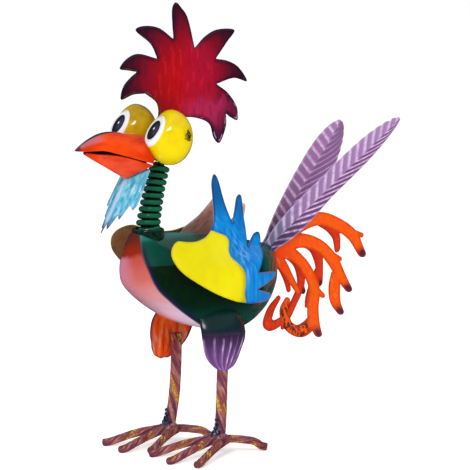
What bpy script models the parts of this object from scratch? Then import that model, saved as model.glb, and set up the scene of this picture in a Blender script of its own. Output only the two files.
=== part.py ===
"""Painted sheet-metal rooster figurine.

Metres, +Z up, beak towards -Y, the bird's left side towards +X, X = 0 the centre plane of the bird.
The free forms are laid out in units, one 420th of the height, with Z = 0 at the floor and Y = 0 near
the ankles. Sheet, rod, wire and clearance are real sizes of their own. Last of all the whole bird
hangs on an empty that puts the origin at the bottom centre of its box.
"""

import math

import bpy
import numpy as np
from mathutils import Vector
from mathutils.geometry import delaunay_2d_cdt

# Driving dimensions
HEIGHT = 0.420
SHEET = 0.0012
GAP = 0.0003
LEG_ROD = 0.0105
TOE_ROD = 0.0075
COIL_WIRE = 0.0054
COIL_PITCH = 0.0063
COIL_FOOT = 0.0236
COIL_HEAD = 0.0189
COLLAR_WALL = 0.0030
COLLAR_RISE = 0.0045
STEM_ROD = 0.0090
STEM_PLUG = 0.0068
STEM_DISC = 0.0160
EYE_DISC = 0.0265
EYE_VENT = 0.0060
FLUTE_DEPTH = 0.0009
BARB_DEPTH = 0.0007
BARB_PITCH = 0.0115

UNIT = HEIGHT / 420

# Layout of the body in units: outline as (Y, Z, half the distance between the two shells)
BODY_CENTRE = (8, 158)
BODY_DOME = 36.5
BODY_RIM = (
    (-72, 207, 8), (-74, 191, 14), (-73, 176, 22), (-67, 158.5, 28), (-54, 145, 31),
    (-35, 130.5, 31), (-14, 118, 28), (5, 111, 22), (28, 107, 15), (49, 109, 9),
    (70, 116, 4), (84, 128, 0), (93, 145, 0), (95, 160, 0), (92, 175, 0), (84, 184, 0),
    (60, 189.5, 0), (30, 196, 0), (0, 201.5, 0), (-35, 205, 0), (-58, 206.5, 4),
)
PANEL_SPANS = 12
PANEL_BULGE = 0.16
RIM_STEPS = 2
RIM_CORNERS = (0, 15)

# Layout of the head and neck in units
NECK_LINE = ((-56.3, 206.7), (-55.7, 216.7), (-49.9, 243.5), (-43.9, 262.7), (-41.5, 269))
EYE_CENTRE = (-51.4, 296.2)
EYE_RADII = (22.5, 20.7, 26)
EYE_SWELL = 0.10
EYE_TILT = math.radians(32)
EYE_DISC_STAND = 18.9
EYE_TURN = {"left": math.radians(15), "right": math.radians(-15)}
STEM_TOP = 300.5

# Layout of the tail in units
TAIL_ROOT = (84, 170)
TAIL_ROOT_REACH = 14
FEATHER_BASE = (78, 172.5)
FEATHER_TIPS = {"left": (213, 297), "right": (209, 286.5)}
FEATHER_SPREAD = 39.5
FEATHER_HALF_WIDTH = 16
FEATHER_ROLL = math.radians(20)
FEATHER_FOLD = math.radians(13)
BARB_SLANT = 1.2

# Layout of the legs and feet in units
ANKLES = {"left": (36, 0.5), "right": (-36, -3.5)}
LEG_LINES = {
    "left": ((1, 42, 37), (1, 74, 38.5), (2.5, 101, 40.5)),
    "right": ((5.5, 42, 36.6), (8.5, 74, 37.4), (9.5, 101, 38)),
}
THIGH_LINES = {"left": (4.5, -2), "right": (0, -3.7)}
FOOT_TURN = math.radians(15)
ANKLE_RISE = 11.5
FOOT_SIZE = {"left": 1.0, "right": 0.96}
TOE_TIPS = {"inner": (-10, -74), "middle": (30, -83), "outer": (60, -73), "back": (29, 32.5)}
OUTER_REACH = {"left": 1.0, "right": 0.86}

PAINTS = {
    "shell_green": (0.005, 0.060, 0.040, 1), "coil_green": (0.004, 0.070, 0.040, 1),
    "chest_pink": (0.78, 0.22, 0.16, 1), "eye_yellow": (0.90, 0.68, 0.01, 1),
    "beak_orange": (0.90, 0.09, 0.005, 1), "beard_blue": (0.16, 0.50, 0.62, 1),
    "comb_red": (0.42, 0.005, 0.02, 1), "cover_yellow": (0.88, 0.72, 0.01, 1),
    "wing_blue": (0.01, 0.26, 0.70, 1), "feather_lilac": (0.32, 0.15, 0.34, 1),
    "plume_orange": (0.90, 0.13, 0.005, 1), "thigh_purple": (0.15, 0.06, 0.19, 1),
    "rod_brown": (0.24, 0.08, 0.07, 1),
}


# General tools

def clear_scene():
    for thing in list(bpy.data.objects):
        bpy.data.objects.remove(thing)


def paint(name):
    material = bpy.data.materials.get(name) or bpy.data.materials.new(name)
    material.use_nodes = True
    shader = material.node_tree.nodes["Principled BSDF"]
    shader.inputs["Base Color"].default_value = PAINTS[name]
    shader.inputs["Roughness"].default_value = 0.22
    shader.inputs["Metallic"].default_value = 0.0
    return material


def make(name, points, faces, finish, mirrored=False):
    """One named object, mirrored to the right side where asked."""
    points = np.array(points, float)
    if mirrored:
        points = points * (-1, 1, 1)
        faces = [tuple(reversed(face)) for face in faces]
    mesh = bpy.data.meshes.new(name)
    mesh.from_pydata(points.tolist(), [], [tuple(int(i) for i in face) for face in faces])
    mesh.update()
    mesh.shade_smooth()
    mesh.set_sharp_from_angle(angle=math.radians(40))
    mesh.materials.append(paint(finish))
    thing = bpy.data.objects.new(name, mesh)
    bpy.context.scene.collection.objects.link(thing)
    return thing


def spline(points, steps):
    """Catmull-Rom curve through the points, with that many steps between neighbours."""
    p = np.array(points, float)
    padded = np.vstack([2 * p[0] - p[1], p, 2 * p[-1] - p[-2]])
    curve = []
    for a, b, c, d in zip(padded, padded[1:], padded[2:], padded[3:]):
        for t in np.arange(steps) / steps:
            curve.append(0.5 * (2 * b + (c - a) * t + (2 * a - 5 * b + 4 * c - d) * t ** 2
                                + (3 * b - a - 3 * c + d) * t ** 3))
    return np.array(curve + [p[-1]])


def outline(*stretches, steps=2):
    """Closed outline in metres from smooth stretches in units that meet at corners."""
    curve = []
    for stretch, following in zip(stretches, stretches[1:] + stretches[:1]):
        curve.extend(spline(list(stretch) + [following[0]], steps)[:-1])
    return np.array(curve) * UNIT


def stroke(points, steps=2):
    """Outline in metres of a frond drawn along (Y, Z, width) points, with a round end."""
    line = spline(points, steps) * UNIT
    way = np.gradient(line[:, :2], axis=0)
    way /= np.linalg.norm(way, axis=1)[:, None]
    side = np.column_stack([-way[:, 1], way[:, 0]]) * line[:, 2:] / 2
    radius = line[-1, 2] / 2
    turn = np.radians((-45, 0, 45))[:, None]
    end = line[-1, :2] + radius * (way[-1] * np.cos(turn) + side[-1] / radius * np.sin(turn))
    return np.vstack([line[:, :2] - side, end, (line[:, :2] + side)[::-1]])


def inside(loop, spots):
    """Whether each spot lies in the loop, by counting crossings."""
    hit = np.zeros(len(spots), bool)
    for (ya, za), (yb, zb) in zip(loop, np.roll(loop, -1, axis=0)):
        if za == zb:
            continue
        crosses = (za > spots[:, 1]) != (zb > spots[:, 1])
        hit ^= crosses & (spots[:, 0] < ya + (spots[:, 1] - za) * (yb - ya) / (zb - za))
    return hit


def distance_to(loop, spots):
    nearest = np.full(len(spots), np.inf)
    for a, b in zip(loop, np.roll(loop, -1, axis=0)):
        edge = b - a
        share = np.clip((spots - a) @ edge / (edge @ edge), 0, 1)
        nearest = np.minimum(nearest, np.linalg.norm(spots - a - share[:, None] * edge, axis=1))
    return nearest


def fill(loops, spacing):
    """Points and triangles over the union of the loops, with a staggered grid inside."""
    low = np.min([loop.min(axis=0) for loop in loops], axis=0)
    high = np.max([loop.max(axis=0) for loop in loops], axis=0)
    rows = np.arange(low[1], high[1], spacing * math.sqrt(3) / 2)
    grid = np.array([(y + (k % 2) * spacing / 2, z) for k, z in enumerate(rows)
                     for y in np.arange(low[0], high[0], spacing)])
    covered = np.any([inside(loop, grid) for loop in loops], axis=0)
    room = np.min([distance_to(loop, grid) for loop in loops], axis=0) > spacing * 0.45
    points = [Vector(p * 1000) for loop in loops for p in loop]
    faces = []
    start = 0
    for loop in loops:
        faces.append(list(range(start, start + len(loop))))
        start += len(loop)
    points += [Vector(p * 1000) for p in grid[covered & room]]
    found = delaunay_2d_cdt(points, [], faces, 0, 1e-4)
    flat = np.array([tuple(p) for p in found[0]]) / 1000
    triangles = np.array([face for face in found[2] if len(face) == 3])
    middle = flat[triangles].mean(axis=1)
    triangles = triangles[np.any([inside(loop, middle) for loop in loops], axis=0)]
    used = np.unique(triangles)
    place = np.full(len(flat), -1)
    place[used] = np.arange(len(used))
    flat = flat[used]
    ordered = []
    for a, b, c in place[triangles]:
        turn = np.cross(flat[b] - flat[a], flat[c] - flat[a])
        ordered.append((a, b, c) if turn > 0 else (a, c, b))
    return flat, ordered


def thicken(points, faces, thickness):
    """Closed wall below an open surface whose faces look outwards."""
    points = np.array(points, float)
    normals = np.zeros_like(points)
    for face in faces:
        corners = points[list(face)]
        across = np.cross(corners[2] - corners[0], corners[-1] - corners[1])
        if len(face) == 3:
            across = np.cross(corners[1] - corners[0], corners[2] - corners[0])
        normals[list(face)] += across
    normals /= np.linalg.norm(normals, axis=1)[:, None]
    count = len(points)
    edges = {(a, b) for face in faces for a, b in zip(face, face[1:] + face[:1])}
    walls = [(b, a, a + count, b + count) for a, b in sorted(edges) if (b, a) not in edges]
    back = [tuple(i + count for i in reversed(face)) for face in faces]
    return np.vstack([points, points - normals * thickness]), list(faces) + back + walls


def grid_faces(rows, columns, closed=False):
    """Quads of a grid of points, rows first, that look along row step times column step."""
    faces = []
    for r in range(rows - 1):
        for c in range(columns if closed else columns - 1):
            d = (c + 1) % columns
            faces.append((r * columns + c, (r + 1) * columns + c,
                          (r + 1) * columns + d, r * columns + d))
    return faces


def tube(line, radii, sides, up=(0, 0, 1)):
    """Closed rod along a line of points, with a flat side towards up."""
    line = np.array(line, float)
    way = np.gradient(line, axis=0)
    way /= np.linalg.norm(way, axis=1)[:, None]
    side = np.cross(way, up)
    side /= np.linalg.norm(side, axis=1)[:, None]
    top = np.cross(side, way)
    angles = (np.arange(sides) + 0.5) * math.tau / sides + math.pi / 2
    points = []
    for middle, radius, s, t in zip(line, radii, side, top):
        points.extend(middle + radius * (math.cos(a) * s + math.sin(a) * t) for a in angles)
    faces = grid_faces(len(line), sides, closed=True)
    last = (len(line) - 1) * sides
    faces.append(tuple(range(sides)))
    faces.append(tuple(reversed(range(last, last + sides))))
    return points, faces


def cut(thing, cutter):
    modifier = thing.modifiers.new("Trim", "BOOLEAN")
    modifier.operation = "DIFFERENCE"
    modifier.solver = "EXACT"
    modifier.object = cutter


def guide(thing):
    thing.hide_render = True
    thing.display_type = "WIRE"
    return thing


def ease(value):
    value = np.clip(value, 0, 1)
    return value * value * (3 - 2 * value)


# Body: two domed shells on a bent chest panel

TAIL_SLOT = 2 * SHEET + 2.5 * GAP


def body_rim():
    """Rim points (Y, Z), half distance between the shells and outward directions, in metres."""
    first, second = RIM_CORNERS
    lower = spline(BODY_RIM[first:second + 1], RIM_STEPS)[:-1]
    upper = spline(BODY_RIM[second:] + BODY_RIM[:1], RIM_STEPS)[:-1]
    rim = np.vstack([lower, upper]) * UNIT
    seam = GAP / 2 + (TAIL_SLOT - GAP / 2) * ease((rim[:, 0] / UNIT - 35) / 20)
    half = np.maximum(rim[:, 2], seam)
    along = np.roll(rim[:, :2], -1, axis=0) - np.roll(rim[:, :2], 1, axis=0)
    along /= np.linalg.norm(along, axis=1)[:, None]
    return rim[:, :2], half, np.column_stack([along[:, 1], -along[:, 0]])


RIM, RIM_HALF, RIM_OUT = body_rim()
CENTRE = np.array(BODY_CENTRE) * UNIT
DOME = BODY_DOME * UNIT
SHARES = (0.4, 0.75, 1.0)


def dome_share(share):
    return (1 - share ** 2.2) ** 0.85


def shell_x(y, z):
    """Outer surface of a shell over a point of the side view, or -inf outside its outline."""
    turn = np.arctan2(RIM[:, 1] - CENTRE[1], RIM[:, 0] - CENTRE[0])
    reach = np.linalg.norm(RIM - CENTRE, axis=1)
    angle = math.atan2(z - CENTRE[1], y - CENTRE[0])
    order = np.argsort(turn)
    limit = np.interp(angle, turn[order], reach[order], period=math.tau)
    half = np.interp(angle, turn[order], RIM_HALF[order], period=math.tau)
    share = math.hypot(y - CENTRE[0], z - CENTRE[1]) / limit
    return half + (DOME - half) * dome_share(share) if share < 1 else -math.inf


def dome_grid(rim, rise):
    """Crown point and rings of one dome over the rim."""
    points = [(rise, *CENTRE)]
    for share in SHARES:
        spots = CENTRE + share * (rim - CENTRE)
        height = RIM_HALF + (rise - RIM_HALF) * dome_share(share)
        points.extend(zip(height, spots[:, 0], spots[:, 1]))
    return points


def dome_faces(start, count):
    faces = [(start, start + 1 + i, start + 1 + (i + 1) % count) for i in range(count)]
    rings = grid_faces(len(SHARES), count, closed=True)
    return faces + [tuple(start + 1 + i for i in face) for face in rings]


def body_shell(name, mirrored):
    count = len(RIM)
    outer = dome_grid(RIM, DOME)
    inner = dome_grid(RIM - RIM_OUT * SHEET, DOME - SHEET)
    size = len(outer)
    faces = dome_faces(0, count)
    faces += [tuple(reversed(face)) for face in dome_faces(size, count)]
    edge = size - count
    for i in range(count):
        j = (i + 1) % count
        faces.append((edge + i, size + edge + i, size + edge + j, edge + j))
    return make(name, outer + inner, faces, "shell_green", mirrored)


def panel_points(indices, widths, clearance, stand):
    """Rows across the strip between the shells, bulged outwards where the panel covers it."""
    points = []
    for i in indices:
        swell = PANEL_BULGE * RIM_HALF[i] * ease((15 - i) / 9)
        for width in widths:
            y, z = RIM[i] + RIM_OUT[i] * (stand + swell * (1 - width ** 2))
            points.append((width * (RIM_HALF[i] - clearance), y, z))
    return points


def chest_panel():
    widths = (-1, -0.45, 0.45, 1)
    rows = range(PANEL_SPANS * RIM_STEPS + 1)
    points = panel_points(rows, widths, GAP, 0)
    faces = grid_faces(len(rows), len(widths))
    return make("chest_panel", *thicken(points, faces, SHEET), "chest_pink")


def body_envelope():
    """Closed body form grown by the clearance, for trimming what is fixed to the body."""
    count = len(RIM)
    left = dome_grid(RIM + RIM_OUT * GAP, DOME + GAP)
    right = [(-x, y, z) for x, y, z in left]
    size = len(left)
    widths = (-0.45, 0.45)
    strip = panel_points(range(count), widths, 0, GAP)
    faces = dome_faces(0, count)
    faces += [tuple(reversed(face)) for face in dome_faces(size, count)]
    edge = size - count
    for i in range(count):
        j = (i + 1) % count
        row = [size + edge + i, 2 * size + i * 2, 2 * size + i * 2 + 1, edge + i]
        following = [size + edge + j, 2 * size + j * 2, 2 * size + j * 2 + 1, edge + j]
        faces += [(row[k], following[k], following[k + 1], row[k + 1]) for k in range(3)]
    return guide(make("body_envelope", left + right + strip, faces, "shell_green"))


# Neck: coil spring in a collar, with a stem on top that the head is fixed to

NECK_Y = NECK_LINE[0][0] * UNIT


def body_top():
    """Height of the body's top line under the neck."""
    upper = RIM[RIM_CORNERS[1] * RIM_STEPS:]
    return float(np.interp(NECK_Y, upper[::-1, 0], upper[::-1, 1]))


def neck_line():
    line = np.array(NECK_LINE) * UNIT
    line[0, 1] = body_top() + GAP + COIL_WIRE / 2
    return line


def neck_coil():
    line = spline(neck_line(), 24)
    steps = np.linalg.norm(np.diff(line, axis=0), axis=1)
    reach = np.concatenate([[0], np.cumsum(steps)])
    turns = reach[-1] / COIL_PITCH
    count = round(turns * 8)
    points = []
    for k in range(count + 1):
        share = k / count
        y, z = (np.interp(share * reach[-1], reach, line[:, i]) for i in (0, 1))
        dy, dz = (np.interp(share * reach[-1], reach, np.gradient(line[:, i])) for i in (0, 1))
        way = Vector((0, dy, dz)).normalized()
        back = way.cross(Vector((1, 0, 0)))
        radius = (COIL_FOOT + (COIL_HEAD - COIL_FOOT) * share - COIL_WIRE) / 2
        angle = share * turns * math.tau - math.pi / 2
        across = Vector((1, 0, 0)) * math.cos(angle) + back * math.sin(angle)
        points.append(Vector((0, y, z)) + across * radius)
    wire = [COIL_WIRE / 2] * len(points)
    return make("neck_coil", *tube(points, wire, 5), "coil_green")


def neck_collar(envelope):
    inner = COIL_FOOT / 2 + GAP
    outer = inner + COLLAR_WALL
    top = body_top() + COLLAR_RISE
    bottom = body_top() - 14 * UNIT
    soft = COLLAR_WALL / 2
    profile = ((inner, bottom), (outer, bottom), (outer, top - soft), (outer - soft, top), (inner, top))
    around = 20
    points = []
    for k in range(around):
        angle = k * math.tau / around
        points.extend((r * math.cos(angle), NECK_Y + r * math.sin(angle), z) for r, z in profile)
    faces = []
    size = len(profile)
    for k in range(around):
        m = (k + 1) % around
        for i in range(size):
            j = (i + 1) % size
            faces.append((k * size + i, m * size + i, m * size + j, k * size + j))
    collar = make("neck_collar", points, faces, "coil_green")
    cut(collar, envelope)
    return collar


def head_stem():
    """Plug in the top of the coil, a disc over its last turn and a rod up between the eyes."""
    line = spline(neck_line(), 8)
    end = line[-1]
    way = (line[-1] - line[-2]) / np.linalg.norm(line[-1] - line[-2])
    seat = end + way * (COIL_WIRE / 2 + GAP)
    disc = SHEET * 2
    top = STEM_TOP * UNIT
    middle = EYE_CENTRE[0] * UNIT
    above = seat + way * disc
    shoulder = top - 3 * UNIT
    rise = spline([above, above + way * 5 * UNIT, (middle, top - 7 * UNIT), (middle, shoulder)], 2)
    path = [end - way * 8 * UNIT, seat, seat + way * GAP / 4, above, above + way * GAP / 4]
    radii = [STEM_PLUG / 2, STEM_PLUG / 2, STEM_DISC / 2, STEM_DISC / 2, STEM_ROD / 2]
    path += [*rise[1:], (middle, top)]
    radii += [STEM_ROD / 2] * len(rise)
    points = [(0, y, z) for y, z in path]
    return make("head_stem", *tube(points, radii, 10, up=(0, -1, 0)), "coil_green")


# Head: eyes, beak, comb and beard

def eye_points(side, grow):
    """Rings of an eye, laid out on the left, from its flat disc at the front to the vent at the back."""
    radii = np.array(EYE_RADII) * UNIT
    centre = np.array((STEM_ROD / 2 + GAP + radii[0], *(np.array(EYE_CENTRE) * UNIT)))
    flat = np.array((-math.sin(EYE_TURN[side]), -math.cos(EYE_TURN[side]), 0))
    rise = np.array((0, 0, 1))
    ahead = flat * math.cos(EYE_TILT) + rise * math.sin(EYE_TILT)
    over = rise * math.cos(EYE_TILT) - flat * math.sin(EYE_TILT)
    across = np.cross(rise, flat)
    stand = EYE_DISC_STAND * UNIT
    rim_angle = math.atan2(EYE_DISC / 2, stand)
    rim_reach = math.hypot(EYE_DISC / 2, stand)
    around = 14
    points = []
    for angle in np.arange(around) * math.tau / around:
        out = math.cos(angle) * across + math.sin(angle) * over
        ring = [centre + ahead * (stand + grow) + out * (EYE_DISC / 2 * 0.62 + grow * 0.5)]
        for polar in (rim_angle, *np.radians((54, 74, 96, 120, 145))):
            way = ahead * math.cos(polar) + out * math.sin(polar)
            reach = (1 + EYE_SWELL * way[2]) / np.linalg.norm(way / radii)
            lip = math.exp(-((polar - rim_angle) / math.radians(15)) ** 2)
            reach += (rim_reach - reach) * lip + grow
            ring.append(centre + way * reach)
        back = 1 / np.linalg.norm(ahead / radii) + grow
        ring.append(centre - ahead * back * 0.985 + out * EYE_VENT / 2)
        points.append(ring)
    return np.array(points).transpose(1, 0, 2), around


def eye(side):
    outer, around = eye_points(side, 0)
    inner, around = eye_points(side, -SHEET)
    rings = len(outer)
    count = rings * around
    points = np.vstack([outer.reshape(-1, 3), inner.reshape(-1, 3)])
    skin = grid_faces(rings, around, closed=True)
    skin.append(tuple(range(around)))
    faces = skin + [tuple(i + count for i in reversed(face)) for face in skin]
    last = count - around
    for i in range(around):
        j = (i + 1) % around
        faces.append((last + j, last + i, last + i + count, last + j + count))
    return make(f"eye_{side}", points, faces, "eye_yellow", side == "right")


def eye_clearance(side):
    """Solid form of an eye grown by the clearance, for trimming what is fixed to it."""
    rings, around = eye_points(side, GAP)
    faces = grid_faces(len(rings), around, closed=True)
    faces.append(tuple(range(around)))
    last = (len(rings) - 1) * around
    faces.append(tuple(reversed(range(last, last + around))))
    points = rings.reshape(-1, 3)
    return guide(make(f"eye_clearance_{side}", points, faces, "eye_yellow", side == "right"))


MOUTH_LINE = ((0.8, -140, 290), (5, -131, 289.3), (10, -115, 289.3), (14, -104, 286.5),
              (18, -91, 282.4), (24, -68, 275))
RIDGE_LINE = ((-140, 291.5), (-134, 295.5), (-124, 300.5), (-112, 304.3), (-99, 305), (-80, 302))
LOWER_LIP = ((3, -129, 287.5), (8, -119, 285.6), (13, -106, 284.2), (17.6, -91, 280.9), (24, -69, 273.2))
KEEL_LINE = ((-130, 286), (-118, 279), (-106, 272.5), (-94.5, 266), (-82.7, 259.6))


def beak_upper(cutters):
    rows, columns = 7, 9
    mouth = spline(MOUTH_LINE, 8) * UNIT
    stem_front = (EYE_CENTRE[0] * UNIT - STEM_ROD / 2 - 6 * GAP) / UNIT
    ridge = spline(RIDGE_LINE + ((stem_front, 298.5),), 8) * UNIT
    points = []
    for r in range(rows):
        share = r / (rows - 1)
        m = [np.interp(share * (len(mouth) - 1), range(len(mouth)), mouth[:, i]) for i in range(3)]
        top = [np.interp(share * (len(ridge) - 1), range(len(ridge)), ridge[:, i]) for i in range(2)]
        power = 2 / (1.5 + 0.9 * share)
        for c in range(columns):
            turn = math.pi * c / (columns - 1)
            flat = abs(math.cos(turn)) ** power * math.copysign(1, math.cos(turn))
            lift = math.sin(turn) ** power if 0 < c < columns - 1 else 0
            points.append((m[0] * flat if c != columns // 2 else 0,
                           m[1] + (top[0] - m[1]) * lift, m[2] + (top[1] - m[2]) * lift))
    jaw = make("beak_upper", *thicken(points, grid_faces(rows, columns), SHEET), "beak_orange")
    for cutter in cutters:
        cut(jaw, cutter)
    return jaw


def beak_lower(cutters):
    rows, columns = 7, 5
    lip = spline(LOWER_LIP, 6) * UNIT
    keel = spline(KEEL_LINE, 6) * UNIT
    points = []
    for r in range(rows):
        k = r * (len(lip) - 1) // (rows - 1)
        x, y, z = lip[k]
        ky, kz = keel[k]
        for c in range(columns):
            width = 1 - 2 * c / (columns - 1)
            drop = 1 - abs(width)
            points.append((x * width, y + (ky - y) * drop, z + (kz - z) * drop))
    faces = [tuple(reversed(face)) for face in grid_faces(rows, columns)]
    jaw = make("beak_lower", *thicken(points, faces, SHEET), "beak_orange")
    for cutter in cutters:
        cut(jaw, cutter)
    return jaw


def beard():
    """Sheet folded on the keel line, with ragged tips, below the rear edge of the lower jaw."""
    tips = ((0, 54), (2.5, 44), (6.5, 52), (12.5, 40), (17, 47), (22.5, 35), (29.5, 43.5), (33, 40))
    half = [*tips, (32.5, 28), (28.5, 4), (27.5, 0)]
    loop = np.array(half + [(-a, b) for a, b in half[:0:-1]]) * UNIT
    loop = loop[::-1] * (1, -1)
    flat, faces = fill([loop], 8 * UNIT)
    keel = np.array((0, *KEEL_LINE[-1])) * UNIT
    along = np.array((20, 18, 13.4)) / math.hypot(20, 18, 13.4)
    down = np.array((0, -0.511, -0.86))
    soft = 2 * UNIT
    points = []
    for a, b in flat:
        reach = math.hypot(a, soft) - soft
        points.append(keel + (along[0] * a, along[1] * reach, along[2] * reach)
                      + down * (SHEET + 2 * GAP - b))
    return make("beard", *thicken(points, faces, SHEET), "beard_blue")


def comb():
    low = STEM_TOP * UNIT + GAP
    base = low / UNIT
    middle = EYE_CENTRE[0]
    loop = outline(
        [(0, 376), (12, 386), (27, 391.5), (47, 389.5), (38, 378.5)],
        [(25, 364), (39, 361), (52, 354), (62, 340), (46, 344)],
        [(26, 340), (40, 330), (50, 316), (49.5, 304.5), (42, 307)],
        [(37, 311), (35, 298), (28, 284.5), (21, 290), (15, 304), (-6, 311), (-30, 309)],
        [(middle + 4, base)], [(middle - 4, base)],
        [(middle - 3.5, base + 5), (-44, 314), (-45, 327)],
        [(-58, 337), (-72, 337), (-86, 333.5), (-84, 345), (-76, 353)],
        [(-68, 358), (-78, 360), (-87.5, 362.5), (-80, 371), (-66, 375)],
        [(-44, 369), (-52, 383), (-69, 396.5), (-60, 400.5), (-42, 397.5)],
        [(-25, 386), (-26.5, 401), (-26.5, 415), (-22, 420), (-16, 415), (-8, 404)])
    flat, faces = fill([loop], 40 * UNIT)
    points = [(SHEET / 2, y, z) for y, z in flat]
    return make("comb", *thicken(points, faces, SHEET), "comb_red")


# Wings: a yellow cover over a sheet of blue feathers, both bent on one surface

WING_WALL = SHEET / 0.84
WING_PIVOT = np.array((0, 180))
ROOT_EDGE = [(-14, 190), (-6, 198)]
FRONT_FEATHER = {
    "left": [(3, 205), (12, 214), (17, 230), (17, 248), (20, 255.5), (25, 249), (31, 229)],
    "right": [(0, 205), (11, 215.5), (20, 228.5), (28, 237.5), (29, 231), (26, 221)],
}
REAR_FEATHERS = (
    [(36, 209), (43, 220), (47, 232), (52.5, 231), (53, 207)],
    [(47, 186.5), (62, 196.5), (70, 195.5), (64, 181)],
    [(49, 163.5), (77, 160), (74, 154)],
    [(48.5, 147), (69, 140.5), (70, 136), (60, 133.5), (32, 135.5), (8, 146), (-12, 160)],
)
COVER_EDGE = (
    [(3, 206), (12, 202.5)],
    [(20, 199), (21, 194), (17, 187), (16.5, 181), (22, 175), (27, 168), (28, 156), (27, 146)],
    [(30, 137), (15, 140), (-11, 150), (-35, 162), (-55, 175), (-63, 187), (-61, 196),
     (-50, 202), (-35, 200), (-22, 199), (-8, 201)],
)
WING_TURN = {"left": 0, "right": math.radians(-10)}
COVER_MOVE = {"left": (0, 0), "right": (-6, 0)}


def turned(stretches, side, move=(0, 0)):
    """Stretches of an outline turned about the wing's pivot, because the two wings sit unevenly."""
    c, s = math.cos(WING_TURN[side]), math.sin(WING_TURN[side])
    turn = np.array(((c, s), (-s, c)))
    return [[tuple((np.array(p) - WING_PIVOT) @ turn + WING_PIVOT + move) for p in stretch]
            for stretch in stretches]


def wing_x(y, z):
    """Outer surface of a feather sheet over a point of the side view, in metres, off the shell."""
    y, z = y / UNIT, z / UNIT
    fall = min(175 - z, 22)
    base = 33.75 + 0.55 * fall - (0.55 * fall ** 2 / 44 if fall > 0 else 0)
    ahead = 0.15 * (math.hypot(y, 15) - y)
    behind = 0.15 * (math.hypot(y - 20, 15) + y - 20)
    least = 2.5
    x = least + 3 * math.log1p(math.exp((base + ahead - behind - least) / 3))
    rest = (shell_x(y * UNIT, z * UNIT) + WING_WALL + 4 * GAP) / UNIT
    blend = 1.5
    return (x + blend * math.log1p(math.exp((rest - x) / blend))) * UNIT if rest > 0 else x * UNIT


def wing_sheet(name, loop, layer, finish, mirrored):
    flat, faces = fill([loop], 10 * UNIT)
    points = [(wing_x(y, z) + layer * (WING_WALL + GAP * 3), y, z) for y, z in flat]
    return make(name, *thicken(points, faces, SHEET), finish, mirrored)


def wing(side):
    mirrored = side == "right"
    front, *rear = turned((ROOT_EDGE, *REAR_FEATHERS), side)
    feathers = outline(front, FRONT_FEATHER[side], *rear)
    cover = outline(*turned(COVER_EDGE, side, COVER_MOVE[side]))
    wing_sheet(f"wing_feathers_{side}", feathers, 0, "wing_blue", mirrored)
    wing_sheet(f"wing_cover_{side}", cover, 1, "cover_yellow", mirrored)


# Tail: two long feathers outside two plumes, all four in the slot between the shells

def tail_feather(side):
    base = np.array(FEATHER_BASE) * UNIT
    tip = np.array(FEATHER_TIPS[side]) * UNIT
    length = np.linalg.norm(tip - base)
    way = (tip - base) / length
    over = np.array((-way[1], way[0]))
    slot = GAP / 2 + 2 * SHEET + GAP
    shape = np.array(((0, 6.5), (0.08, 7.5), (0.16, 11), (0.3, 14), (0.55, 16), (0.75, 15.3),
                      (0.88, 11.5), (0.96, 6.5), (1, 2)))
    shape[:, 1] *= FEATHER_HALF_WIDTH * UNIT / 16
    rows = 2 * round(length / BARB_PITCH) + 1
    widths = (-1, 0, 1)
    points = []
    for r in range(rows):
        start = r / (rows - 1)
        half = np.interp(start, shape[:, 0], shape[:, 1])
        for width in widths:
            share = min(start + BARB_SLANT * abs(width) * half / length, 1)
            reach = width * np.interp(share, shape[:, 0], shape[:, 1])
            free = ease((share - 0.15) / 0.4)
            roll = FEATHER_ROLL * free
            fold = abs(reach) * math.tan(FEATHER_FOLD) * free
            ridge = BARB_DEPTH * free * (1 if r % 2 else -1) * (1 if width else 0)
            out = FEATHER_SPREAD * UNIT * max(0, (share - 0.1) / 0.9)
            y, z = base + way * share * length + over * (reach * math.cos(roll))
            points.append((slot + out + reach * math.sin(roll) - fold + ridge, y, z))
    faces = grid_faces(rows, len(widths))
    sheet = thicken(points, faces, SHEET)
    return make(f"tail_feather_{side}", *sheet, "feather_lilac", side == "right")


FRONDS = (
    [(82, 168, 9), (100, 181, 14), (118, 196, 14), (142, 203, 13), (164, 195, 12), (179, 183, 11),
     (186, 167, 8)],
    [(172, 190, 6), (187, 184, 5)],
    [(82, 168, 10), (104, 179, 15), (124, 183, 14), (144, 176, 12), (156, 162, 12), (162, 147, 10),
     (167, 135, 7)],
    [(152, 170, 6), (163, 163, 5)],
    [(158, 150, 9), (154, 137, 11), (152, 124, 10), (154, 115, 7)],
    [(84, 164, 11), (106, 173, 13), (122, 164, 11), (131, 150, 11), (134, 136, 11), (129, 120, 11),
     (126, 107, 11), (126, 97, 8)],
    [(131, 143, 6), (141, 130, 5)],
    [(127, 110, 9), (116, 102, 11), (106, 100, 11), (98, 106, 11), (98, 118, 10), (104, 128, 6)],
    [(86, 168, 10), (100, 164, 11), (109, 151, 8), (117, 135, 5)],
)


def plume_x(y, z):
    """Outer surface of the left plume over a point of the side view, in metres."""
    root = np.array(TAIL_ROOT) * UNIT
    far = max(0, math.hypot(y - root[0], z - root[1]) - TAIL_ROOT_REACH * UNIT) / (100 * UNIT)
    down = float(np.clip((178 * UNIT - z) / (83 * UNIT), 0, 1))
    return GAP / 2 + SHEET + (18 + 25 * down) * UNIT * far ** 1.5


def tail_plume(name, mirrored):
    flat, faces = fill([stroke(frond) for frond in FRONDS], 9 * UNIT)
    points = [(plume_x(y, z), y, z) for y, z in flat]
    return make(name, *thicken(points, faces, SHEET), "plume_orange", mirrored)


# Legs and feet

def leg_points(side):
    x, y = ANKLES[side]
    sign = math.copysign(1, x)
    line = [(x, y, 5), (x, y, 14)] + [(sign * lx, y + ly, lz) for ly, lz, lx in LEG_LINES[side]]
    return spline(line, 2) * UNIT


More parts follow.
